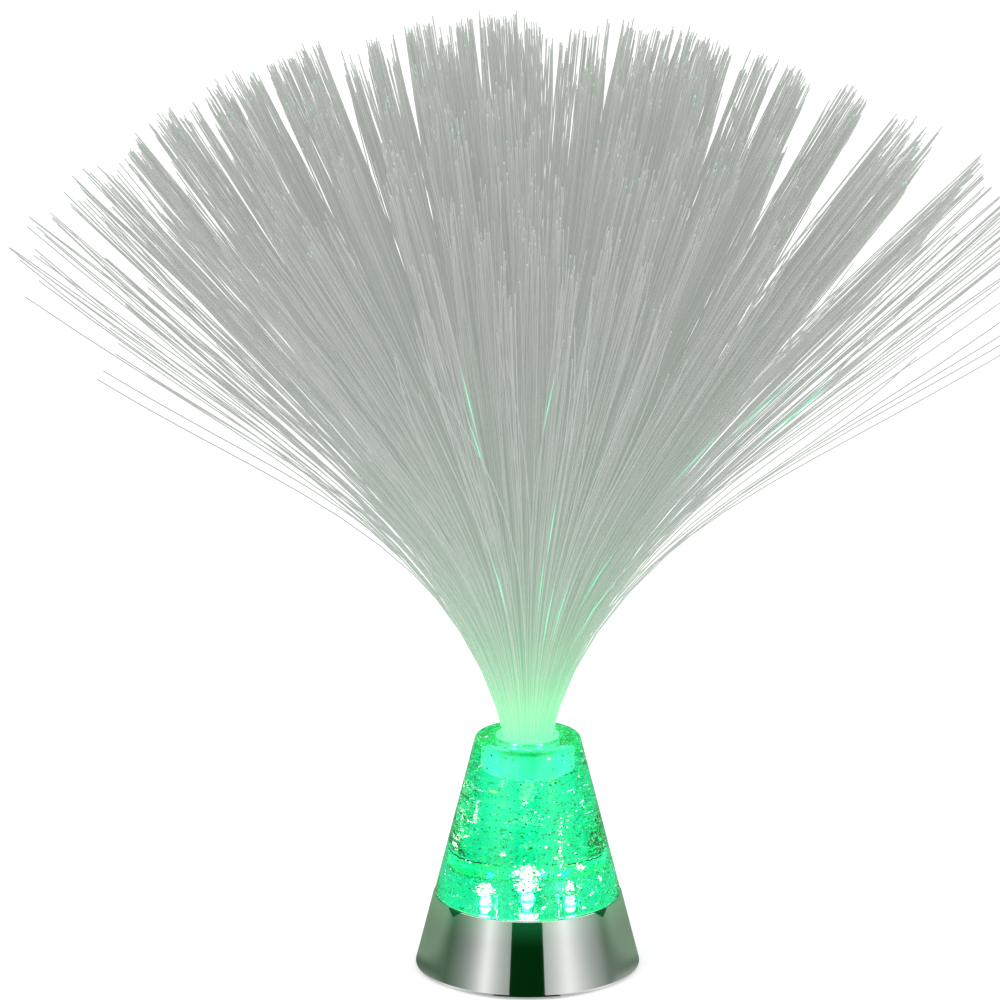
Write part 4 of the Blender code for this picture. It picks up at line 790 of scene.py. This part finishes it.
def flake_places(chance, count):
    """Places of the flakes, and the kind of each: loose, in a halo or in a streak. The loose ones
    keep clear of the cone's skin and socket and lie thicker on one side. Some settled in a ring
    round the socket and in a dense layer at the foot."""
    looks = bpy.context.scene.lamp_crystal
    low, high = SKIRT_HIGH.z + RIM_ROOM, CRYSTAL_HIGH.z - looks.clear_top
    tries = count * 6
    level = low + (high - low) * chance.random(tries) ** 1.2
    reach = skirt_line(level) - SKIN_ROOM
    radius = reach * chance.random(tries) ** 0.42
    angle = chance.random(tries) * math.tau
    under, beside = level < FERRULE_LOW.z - SOCKET_ROOM, radius > FERRULE_HIGH.x + SOCKET_ROOM
    taken = chance.random(tries) * SKIRT_HIGH.x**2 < reach**2
    dense = chance.random(tries) < 0.62 + 0.38 * np.cos(angle)
    kept = np.flatnonzero((under | beside) & taken & dense)[:count]
    loose = round_axis(radius[kept], angle[kept], level[kept])
    radius = FERRULE_HIGH.x + SKIN_ROOM + RING_WIDTH * chance.random(RING_FLAKES)
    angle = chance.random(RING_FLAKES) * math.tau
    level = CRYSTAL_HIGH.z - RING_DROP + RING_HEIGHT * chance.random(RING_FLAKES)
    ring = round_axis(radius, angle, level)
    halos = [
        np.array((x, y, z)) + chance.normal(0, radius * HALO_SCATTER, (flakes, 3))
        for x, y, z, radius, flakes in HALOS
    ]
    radius = DEEP_REACH * chance.random(DEEP_FLAKES) ** 0.5
    angle = chance.random(DEEP_FLAKES) * math.tau
    level = low + chance.exponential(DEEP_THICKNESS, DEEP_FLAKES)
    deep = round_axis(radius, angle, level)
    streaks = [
        np.stack([np.full(flakes, x), np.full(flakes, y), np.linspace(below, above, flakes)], 1)
        + chance.normal(0, STREAK_SCATTER, (flakes, 3))
        for x, y, below, above, flakes in STREAKS
    ]
    groups = ((LOOSE, (loose, ring, deep)), (IN_HALO, halos), (IN_STREAK, streaks))
    kind = np.concatenate([np.full(len(part), kind) for kind, parts in groups for part in parts])
    return np.concatenate([part for _, parts in groups for part in parts]), kind


def flake_finish():
    flake = Finish("glitter_foil", sampled=False, Roughness=0.25, Emission_Strength=1.0)
    spark, lit = flake.attribute("spark"), flake.attribute("lit")
    # Painted light: each flake glows by its spark, from dark green up to a few white glints, and
    # brighter where it is lit, near a light or in a halo or streak
    colour = flake.bands(
        spark,
        (0.0, (0.0, 0.13, 0.05)),
        (0.20, (0.0, 0.34, 0.13)),
        (0.50, (0.0, 0.68, 0.24)),
        (0.84, (0.1, 1.05, 0.60)),
        (0.95, (4.0, 0.80, 0.35)),
        (0.975, (16.0, 2.6, 3.0)),
    )
    glowing = flake.mix(lit.ramp(0.10, 0.40), colour, (0.3, 1.20, 0.70))
    glowing = flake.mix(lit.ramp(0.42, 0.62), glowing, (30.0, 2.6, 3.8))
    foil = flake.mix(spark, (0.02, 0.25, 0.10), (0.10, 0.55, 0.28))
    flake.drive(Base_Color=foil, Emission_Color=glowing)
    return flake


# Spray of light fibres


class LAMP_OT_spray(bpy.types.Operator):
    """Draws the light fibres, in six tresses that stand for the six potted sectors"""

    bl_idname = "lamp.spray"
    bl_label = "Light fibres"

    def execute(self, context):
        paths, along, shade, leak = strand_paths(context.scene.lamp_spray)
        azimuth = np.arctan2(paths[:, 0, 1], paths[:, 0, 0]) % math.tau
        finish = fibre_finish()
        sixth = math.tau / len(SECTOR_NAMES)
        for node, name in zip(SECTOR_NAMES, numbered("fibre_tress", len(SECTOR_NAMES))):
            centre = middle(node)
            facing = round(math.atan2(centre.y, centre.x) / sixth) * sixth
            off = (azimuth - facing + math.pi) % math.tau - math.pi
            mine = np.abs(off) <= sixth / 2
            tress = strand_mesh(
                name, paths[mine], along[mine], shade[mine], leak[mine],
                context.scene.lamp_spray.radius,
            )
            dress(tress, finish)
            choose(tress)
            bpy.ops.object.shade_smooth()
            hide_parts(node)
            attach(tress, "fibre_spray")
        return {"FINISHED"}


def strand_paths(sizes, fine=160, rings=14, root_drop=0.002):
    """Points along every strand: bowed out by its place in the bundle, drawn into tufts and
    parted. Each is bent in fine steps, of which some are kept as rings, and starts in the bore."""
    chance = np.random.default_rng(SPRAY_SEED)
    count = sizes.strands
    step = np.arange(count)
    place = ((step + 0.5) / count) ** 0.5
    spread = 0.85 * place + 0.15 * place**20
    azimuth = step * math.pi * (3 - 5**0.5) + chance.normal(0, 0.05, count)
    length = sizes.length * (0.987 - RAGGEDNESS * chance.random(count) ** 2.4)
    length *= 1 + STRAGGLER_EXTRA * place**26
    lean = 1 + chance.normal(0, 0.012 + 0.03 * place**16, count)
    root = sizes.root_tilt * spread
    tip = (sizes.tip_tilt * spread + sizes.droop * spread**12) * lean
    bend = 1 - (1 - (np.arange(fine) + 0.5) / fine) ** 3.3
    tilt = root[:, None] + (tip - root)[:, None] * bend[None, :]
    run = length[:, None] / fine
    zero = np.zeros((count, 1))
    out, up = (
        np.concatenate([zero, np.cumsum(part(tilt) * run, 1)], 1) for part in (np.sin, np.cos)
    )
    out += sizes.bundle * place[:, None]
    breaks = np.round(np.linspace(0, 1, rings) ** 1.25 * (fine - 1))
    breaks = np.append(breaks, fine).astype(int)
    out, up = out[:, breaks], up[:, breaks]
    share = breaks / fine
    turn = azimuth[:, None] + chance.normal(0, 0.035, count)[:, None] * share[None, :]
    paths = gather(round_axis(out, turn, up), share, sizes.clumping, chance)
    paths = part_strands(paths)
    paths[:, :, 2] += CRYSTAL_HIGH.z
    roots = paths[:, :1].copy()
    roots[:, :, 2] -= root_drop
    paths = np.concatenate([roots, paths], 1)
    along = np.concatenate([zero, length[:, None] * share[None, :]], 1)
    return paths, along, chance.random(count), glints(paths)


def glints(paths, rise=0.33, breadth=0.003, length=0.010):
    """Marks the points, one for each spot, where a strand on the near side leaks light."""
    leak = np.zeros(paths.shape[:2])
    height = paths[:, :, 2] - CRYSTAL_HIGH.z + rise * paths[:, :, 1]
    for side, level in GLINT_SPOTS:
        near = (abs(paths[:, :, 0] - side) < breadth) & (abs(height - level) < length)
        depth = np.where(near, paths[:, :, 1], np.inf)
        strand, step = np.unravel_index(depth.argmin(), depth.shape)
        leak[strand, step] = 1.0
    return leak


def gather(paths, share, strength, chance):
    """Draws each strand's upper half towards the middle of its tuft."""
    for tufts, part in TUFTS:
        tips = paths[:, -1]
        centres = tips[chance.choice(len(tips), tufts, replace=False)]
        gap = np.linalg.norm(tips[:, None] - centres[None], axis=2)
        pull = centres[gap.argmin(1)] - tips
        pull *= strength * part * chance.uniform(0.5, 1.2, (len(tips), 1))
        pull[:, 2] *= 0.3
        paths = paths + pull[:, None, :] * (share**2.2)[None, :, None]
    return paths + chance.normal(0, 0.001, tips.shape)[:, None, :] * (share**2)[None, :, None]


def part_strands(paths, rise=0.29):
    """Moves strands out of the partings, which open from their starts to the tips. An angle is
    that of a strand's image on an upright plane, on which what lies behind is shown higher."""
    side, level = paths[:, :, 0], paths[:, :, 2] + rise * paths[:, :, 1]
    reach = np.hypot(side, level)
    angle = np.degrees(np.arctan2(side, level))
    tip = angle[:, -1]
    turn = np.zeros_like(angle)
    for centre, half, start in PARTINGS:
        off = tip - centre
        inside = np.abs(off) < half
        shift = np.where(inside, np.where(off < 0, -half, half) - off, 0.0)
        opened = np.clip((reach - start) / (reach[:, -1:] - start), 0.0, 1.0)
        turn += shift[:, None] * opened
    new = np.radians(angle + turn)
    paths[:, :, 0] = reach * np.sin(new)
    paths[:, :, 2] = reach * np.cos(new) - rise * paths[:, :, 1]
    return paths


def strand_mesh(name, paths, along, shade, leak, radius, sides=3):
    """Closed thin tubes along the paths, in one mesh. They are thinner where they are bound."""
    count, points = along.shape
    way = np.gradient(paths, axis=1)
    way /= np.linalg.norm(way, axis=2)[:, :, None]
    azimuth = np.arctan2(paths[:, -1, 1], paths[:, -1, 0])
    across = np.stack([-np.sin(azimuth), np.cos(azimuth), np.zeros(count)], 1)[:, None, :]
    across = across - way * (way * across).sum(2)[:, :, None]
    across /= np.linalg.norm(across, axis=2)[:, :, None]
    outward = np.cross(way, across)
    angles = np.arange(sides) * math.tau / sides
    thick = radius * np.interp(along, (0.0, 0.08), (0.68, 1.0))[:, :, None, None]
    spots = (
        paths[:, :, None, :]
        + thick * np.cos(angles)[None, None, :, None] * across[:, :, None, :]
        + thick * np.sin(angles)[None, None, :, None] * outward[:, :, None, :]
    )
    faces = []
    ring = np.arange(sides)
    after = (ring + 1) % sides
    for strand in range(count):
        first = strand * points * sides
        for level in range(points - 1):
            low = first + level * sides
            for one, two in zip(ring, after):
                faces.append((low + one, low + two, low + sides + two, low + sides + one))
        faces.append(tuple(first + ring[::-1]))
        faces.append(tuple(first + (points - 1) * sides + ring))
    fields = {
        "along": np.repeat(along.reshape(-1), sides),
        "shade": np.repeat(shade, points * sides),
        "leak": np.repeat(leak.reshape(-1), sides),
        "end": np.repeat(np.tile(np.arange(points) == points - 1, count), sides).astype(float),
    }
    return mesh_piece(name, spots.reshape(-1, 3), faces, fields)


def fibre_finish():
    looks = bpy.context.scene.lamp_spray
    fibre = Finish(
        "drawn_fibre", sampled=False, Roughness=0.45, IOR=1.49, Specular_IOR_Level=0.25,
        Emission_Strength=1.0,
    )
    along, shade, end, leak = map(fibre.attribute, ("along", "shade", "end", "leak"))
    pale = [min(part * 1.12, 1.0) for part in looks.colour]
    dark = [part * 0.88 for part in looks.colour]
    plastic_and_painted_shade = fibre.mix(shade, dark, pale)
    # Painted shade: the colour darkens along the fibre towards its tips, where lone strands would
    # otherwise show brighter under the lamps
    plastic_and_painted_shade = fibre.mix(along.ramp(0.06, 0.24, 0.0, 0.22), plastic_and_painted_shade, (0.16, 0.17, 0.16))

    # Light that the fibre loses on its way: strong green by the root, a trace of it far up
    near = (along * -52.0).math("EXPONENT")
    far = (along * -11.0).math("EXPONENT")
    lit = fibre.mix(near * 0.75, looks.haze, (0.06, 0.98, 0.28))
    lit = fibre.mix(far * 0.12, lit, looks.glow, "ADD")
    tip_light = (end > 0.5) * (shade < 0.10)
    lit = fibre.mix(leak * 0.95 + tip_light * 0.45, lit, (0.0, 0.90, 0.40))
    fibre.drive(Base_Color=plastic_and_painted_shade, Emission_Color=lit)
    return fibre


# Carried-over pieces


class LAMP_OT_base(bpy.types.Operator):
    """Gives the moulded, rubber and metal pieces of the base their finishes"""

    bl_idname = "lamp.base"
    bl_label = "Base finishes"

    def execute(self, context):
        dress_nodes(["base_cover", "battery_door", "switch_body"], housing_finish())
        dress_nodes(numbered("foot", 4), rubber_finish())
        screws = [*BASE_SCREW_NAMES, *numbered("board_screw", 2), "door_screw"]
        dress_nodes(screws, zinc_finish())
        dress_nodes(["switch_knob"], knob_finish())
        return {"FINISHED"}


def housing_finish():
    housing = Finish("moulded_black", IOR=1.5)
    grain = housing.noise(2600.0, 3.0)
    wear = housing.noise(70.0, 4.0)
    housing.drive(
        Base_Color=housing.mix(wear.ramp(0.4, 0.7), (0.016, 0.016, 0.018), (0.028, 0.028, 0.030)),
        Roughness=0.42 + grain * 0.12 + wear * 0.06,
    )
    housing.bump(grain, 0.00006, 0.5)
    return housing


def rubber_finish():
    rubber = Finish("foot_rubber", Specular_IOR_Level=0.3)
    dust = rubber.noise(400.0, 4.0)
    rubber.drive(
        Base_Color=rubber.mix(dust.ramp(0.5, 0.8), (0.025, 0.025, 0.025), (0.06, 0.058, 0.055)),
        Roughness=0.78 + dust * 0.15,
    )
    rubber.bump(rubber.noise(1800.0, 2.0), 0.00008, 0.6)
    return rubber


def zinc_finish():
    zinc = Finish("zinc_plate", Metallic=1.0)
    spangle = zinc.cells(1400.0, output="Color")
    stain = zinc.noise(500.0, 3.0)
    zinc.drive(
        Base_Color=zinc.mix(stain.ramp(0.35, 0.7), (0.62, 0.63, 0.62), (0.50, 0.49, 0.45)),
        Roughness=0.24 + stain * 0.18,
    )
    zinc.bump(zinc.node("ShaderNodeRGBToBW", None, {0: spangle}), 0.00003, 0.3)
    return zinc


def knob_finish():
    knob = Finish("knob_plastic")
    grain = knob.noise(1500.0, 2.0)
    knob.drive(
        Base_Color=knob.mix(grain.ramp(0.3, 0.7), (0.72, 0.72, 0.70), (0.62, 0.62, 0.60)),
        Roughness=0.38 + grain * 0.1,
    )
    knob.bump(grain, 0.00004, 0.4)
    return knob


class LAMP_OT_electrics(bpy.types.Operator):
    """Gives the cells, contacts, board, lights, wires and ferrule their finishes"""

    bl_idname = "lamp.electrics"
    bl_label = "Electrics' finishes"

    def execute(self, context):
        dress_nodes(numbered("battery", 3), cell_finish())
        bridges = numbered("contact_bridge", 2)
        dress_nodes(["contact_positive", *bridges, "contact_negative"], nickel_finish())
        dress_nodes(["led_board"], board_finish())
        dress_nodes(LED_NAMES, led_finish())
        dress_nodes(numbered("resistor", 4), resistor_finish())
        dress_nodes(["reflector_disc"], reflector_finish())
        dress_nodes(["wire_positive"], wire_finish("red_insulation", (0.55, 0.03, 0.02)))
        black = wire_finish("black_insulation", (0.02, 0.02, 0.022))
        dress_nodes(["wire_negative", "wire_switched"], black)
        dress_nodes(["fibre_ferrule"], ferrule_finish())
        return {"FINISHED"}


def cell_finish(jacket_half=0.0135):
    cell = Finish("cell_jacket")
    x, _, _ = cell.axes()
    end = (x > jacket_half) + (x < -jacket_half)
    shine = cell.noise(200.0, 2.0, cell.stretched((1.0, 0.1, 0.1)))
    jacket = cell.mix(shine, (0.035, 0.038, 0.045), (0.060, 0.064, 0.072))
    cell.drive(
        Base_Color=cell.mix(end, jacket, (0.62, 0.42, 0.16)),
        Metallic=0.35 + end * 0.5,
        Roughness=0.28 + shine * 0.1,
    )
    return cell


def nickel_finish():
    nickel = Finish("nickel_plate", Metallic=1.0)
    grain = nickel.noise(700.0, 3.0, nickel.stretched((1.0, 1.0, 0.15)))
    nickel.coat(grain, ((0.70, 0.68, 0.62), (0.80, 0.78, 0.73)), (0.2, 0.16), (0.00002, 0.3))
    return nickel


def board_finish():
    board = Finish("solder_mask")
    tracks = board.cells(420.0, feature="DISTANCE_TO_EDGE", randomness=0.35)
    weave = board.noise(1500.0, 2.0)
    under = tracks.ramp(0.05, 0.09, 1.0, 0.0)
    board.drive(
        Base_Color=board.mix(under, (0.74, 0.76, 0.74), (0.64, 0.69, 0.64)),
        Roughness=0.30 + weave * 0.15,
    )
    board.bump(under * 0.6 + weave * 0.2, 0.00005, 0.5)
    return board


def led_finish():
    led = Finish("led_resin", Roughness=0.08, IOR=1.5, Emission_Strength=40.0)
    _, _, z = led.axes()
    dome = z.ramp(LED_TOP - 0.0040, LED_TOP - 0.0014)
    led.drive(
        Base_Color=led.mix(dome, (0.35, 0.80, 0.55), (0.80, 1.0, 0.90)),
        Emission_Color=led.mix(dome, (0.02, 0.04, 0.02), (5.0, 1.0, 1.0)),
    )
    return led


def resistor_finish():
    resistor = Finish("resistor_lacquer")
    _, _, z = resistor.axes()
    clouds = resistor.noise(900.0, 2.0)
    rings = {"wave_type": "RINGS", "rings_direction": "Z"}
    wave = resistor.node("ShaderNodeTexWave", rings, {"Vector": resistor.place, "Scale": 420.0})
    tan, brown, gold = (0.55, 0.42, 0.26), (0.35, 0.10, 0.04), (0.60, 0.46, 0.14)
    bands = resistor.bands(wave, (0.0, tan), (0.72, brown), (0.86, gold))
    resistor.drive(Base_Color=bands, Roughness=0.32 + clouds * 0.14)
    resistor.bump(clouds + z * 10.0, 0.00003, 0.3)
    return resistor


def reflector_finish():
    disc = Finish("white_reflector", Emission_Strength=1.0, Roughness=0.4)
    # Painted light: the disc glows green towards its middle, and a bright pool of light is painted
    # round each light on it
    near = disc.reach().ramp(0.006, 0.030, 1.0, 0.45)
    dapple = disc.noise(160.0, 4.0).ramp(0.35, 0.65)
    painted_glow = disc.mix(near * (0.45 + dapple * 0.6), (0.0, 0.0, 0.0), (0.04, 1.0, 0.40))
    x, y, _ = disc.axes()
    painted_pool, *others = [
        ((x - led.x) * (x - led.x) + (y - led.y) * (y - led.y)).math("SQRT")
        for led in led_places()
    ]
    for gap in others:
        painted_pool = painted_pool.math("MINIMUM", gap)
    disc.drive(
        Base_Color=disc.mix(dapple, (0.80, 0.84, 0.80), (0.88, 0.90, 0.88)),
        Emission_Color=disc.mix((painted_pool / -0.003).math("EXPONENT"), painted_glow, (8.0, 2.5, 2.6)),
    )
    return disc


def wire_finish(name, colour):
    wire = Finish(name)
    shades = [[part * share for part in colour] for share in (0.8, 1.15)]
    wire.coat(wire.noise(900.0, 3.0), shades, (0.36, 0.16), (0.00004, 0.3))
    return wire


def ferrule_finish():
    ferrule = Finish("brushed_aluminium", sampled=False, Metallic=0.4, Emission_Strength=1.0)
    lines = ferrule.noise(260.0, 3.0, ferrule.stretched((1.0, 1.0, 14.0)))
    ferrule.coat(lines, ((0.40, 0.54, 0.46), (0.52, 0.64, 0.56)), (0.22, 0.15), (0.00003, 0.4))
    # Painted light and shade: the ferrule glows green, brightest round its top, and dimmer lower
    # down where it is held in the socket and painted shade falls, dimmest at its foot
    _, _, z = ferrule.axes()
    held = z.ramp(FERRULE_HIGH.z - 0.0045, FERRULE_HIGH.z - 0.0030, 1.0, 0.0)
    low = z.ramp(FERRULE_LOW.z, FERRULE_LOW.z + 0.004, 1.0, 0.8)
    inside = ferrule.mix(lines, (0.03, 0.30, 0.16), (0.05, 0.42, 0.24))
    ferrule.drive(Emission_Color=ferrule.mix(held * low, (0.03, 0.50, 0.22), inside))
    return ferrule


# Studio


class LAMP_OT_studio(bpy.types.Operator):
    """Sets up the floor, the surround that the chrome shows, the lights and the camera"""

    bl_idname = "lamp.studio"
    bl_label = "Studio"

    def execute(self, context):
        add_floor()
        add_surround()
        add_lamps()
        set_daylight(context.scene)
        add_camera(context.scene)
        context.scene.view_settings.view_transform = "Standard"
        return {"FINISHED"}


def seen_paths(tree):
    """One for the paths that show a backdrop: from the camera, off gloss and through glass."""
    path = tree.nodes.new("ShaderNodeLightPath")
    shown = path.outputs["Is Camera Ray"]
    for name in ("Is Glossy Ray", "Is Transmission Ray"):
        either = tree.nodes.new("ShaderNodeMath")
        either.operation = "MAXIMUM"
        tree.links.new(shown, either.inputs[0])
        tree.links.new(path.outputs[name], either.inputs[1])
        shown = either.outputs[0]
    return shown


def add_floor():
    clear_choice()
    bpy.ops.mesh.primitive_plane_add(size=6.0, location=(0.0, 0.0, -0.0001))
    floor = bpy.context.object
    floor.name = "studio_floor"
    white = (1.0, 1.0, 1.0, 1.0)
    paper = Finish("studio_paper", Roughness=0.9, Specular_IOR_Level=0.0, Emission_Color=white)
    tone = paper.noise(3.0, 2.0)
    paper.drive(
        Base_Color=paper.mix(tone, (0.82, 0.82, 0.82), (0.84, 0.84, 0.84)),
        Emission_Strength=Term(paper, seen_paths(paper.tree)) * FLOOR_GLOW,
    )
    dress(floor, paper)


def add_surround(sides=96, near=0.0375, far=1.6, height=1.5):
    """A drum and floor ring that only the chrome sees: two soft lights, one dark door between."""
    clear_choice()
    bpy.ops.mesh.primitive_circle_add(vertices=sides, radius=near, location=(0.0, 0.0, 0.0004))
    made = bpy.context.object
    made.name = "studio_surround"
    bpy.ops.object.mode_set(mode="EDIT")
    bpy.ops.mesh.select_all(action="SELECT")
    bpy.ops.mesh.extrude_region_move()
    grow = far / near
    bpy.ops.transform.resize(value=(grow, grow, 1.0), center_override=(0.0, 0.0, 0.0))
    bpy.ops.mesh.extrude_region_move(TRANSFORM_OT_translate={"value": (0, 0, height)})
    bpy.ops.object.mode_set(mode="OBJECT")
    settle(made)
    dress(made, surround_finish())
    made.visible_camera = False
    made.visible_diffuse = False
    made.visible_transmission = False
    made.visible_shadow = False


def surround_finish():
    drum = Finish(
        "surround_cloth", sampled=False, Base_Color=(0.0, 0.0, 0.0, 1.0), Roughness=1.0,
        Specular_IOR_Level=0.0, Emission_Strength=1.0,
    )
    x, y, _ = drum.axes()
    heading = x.math("ARCTAN2", y * -1.0) * (180 / math.pi)
    wide = heading.math("ABSOLUTE")
    lights = []
    for bearing, falloff, strength in SOFT_LIGHTS:
        off = heading - bearing
        off = (off * off + LIGHT_BLUNTNESS**2).math("SQRT")
        lights.append((off / -falloff).math("EXPONENT") * strength)
    glow = (lights[0] + lights[1]) * wide.ramp(80.0, 100.0, 1.0, 0.5)
    ground = drum.mix(wide.ramp(92.0, 110.0), (0.05, 0.11, 0.06), (0.19, 0.29, 0.195))
    cloth = drum.mix(glow.math("MINIMUM", 1.0), ground, (0.98, 0.98, 0.97))
    door = (heading - DOOR_HEADING).math("ABSOLUTE") < DOOR_HALF_WIDTH
    drum.drive(Emission_Color=drum.mix(door, cloth, (0.0006, 0.026, 0.004)))
    return drum


def aim(made, way):
    """Turns a light or the camera to look along a direction."""
    made.rotation_euler = way.to_track_quat("-Z", "Y").to_euler()


def add_lamps():
    for name, place, power in STUDIO_LAMPS:
        clear_choice()
        bpy.ops.object.light_add(type="AREA", location=place)
        made = bpy.context.object
        made.name = name
        made.data.shape = "SQUARE"
        made.data.size = LAMP_SIZE
        made.data.energy = power
        aim(made, LAMP_TARGET - Vector(place))
        made.visible_camera = False
        made.visible_glossy = False


def set_daylight(scene):
    world = bpy.data.worlds.new("studio_daylight")
    scene.world = world
    world.use_nodes = True
    tree = world.node_tree
    back = tree.nodes["Background"]
    back.inputs["Color"].default_value = (1.0, 1.0, 1.0, 1.0)
    level = tree.nodes.new("ShaderNodeMix")
    tree.links.new(seen_paths(tree), level.inputs[0])
    level.inputs[2].default_value = scene.lamp_studio.daylight
    level.inputs[3].default_value = 1.0
    tree.links.new(level.outputs[0], back.inputs["Strength"])


def add_camera(scene):
    looks = scene.lamp_studio
    clear_choice()
    target = Vector(looks.target)
    back = Vector((0.0, -math.cos(looks.elevation), math.sin(looks.elevation)))
    bpy.ops.object.camera_add(location=target + back * looks.distance)
    camera = bpy.context.object
    camera.name = "lamp_camera"
    aim(camera, -back)
    camera.data.sensor_fit = "HORIZONTAL"
    camera.data.angle = looks.field
    camera.data.clip_end = 50.0
    scene.camera = camera


# Panel


class LAMP_PT_looks(bpy.types.Panel):
    """Lists the lamp's pieces and the studio"""

    bl_label = "Fibre lamp"
    bl_idname = "LAMP_PT_looks"
    bl_space_type = "VIEW_3D"
    bl_region_type = "UI"
    bl_category = "Fibre lamp"

    def draw(self, context):
        for group in ("lamp_skirt", "lamp_crystal", "lamp_spray", "lamp_studio"):
            box = self.layout.box()
            settings = getattr(context.scene, group)
            for name in settings.__annotations__:
                box.prop(settings, name)
        for operator in OPERATORS:
            self.layout.operator(operator.bl_idname)


GROUPS = {
    "lamp_skirt": SkirtSettings,
    "lamp_crystal": CrystalSettings,
    "lamp_spray": SpraySettings,
    "lamp_studio": StudioSettings,
}
OPERATORS = (
    LAMP_OT_skirt,
    LAMP_OT_crystal,
    LAMP_OT_glitter,
    LAMP_OT_spray,
    LAMP_OT_base,
    LAMP_OT_electrics,
    LAMP_OT_studio,
)


def register():
    for name, group in GROUPS.items():
        bpy.utils.register_class(group)
        setattr(bpy.types.Scene, name, PointerProperty(type=group))
    for made in (*OPERATORS, LAMP_PT_looks):
        bpy.utils.register_class(made)


def unregister():
    for made in (LAMP_PT_looks, *reversed(OPERATORS)):
        bpy.utils.unregister_class(made)
    for name, group in GROUPS.items():
        delattr(bpy.types.Scene, name)
        bpy.utils.unregister_class(group)


def main():
    register()
    bpy.ops.lamp.skirt()
    bpy.ops.lamp.crystal()
    bpy.ops.lamp.glitter()
    bpy.ops.lamp.spray()
    bpy.ops.lamp.base()
    bpy.ops.lamp.electrics()
    bpy.ops.lamp.studio()


if __name__ == "__main__":
    main()
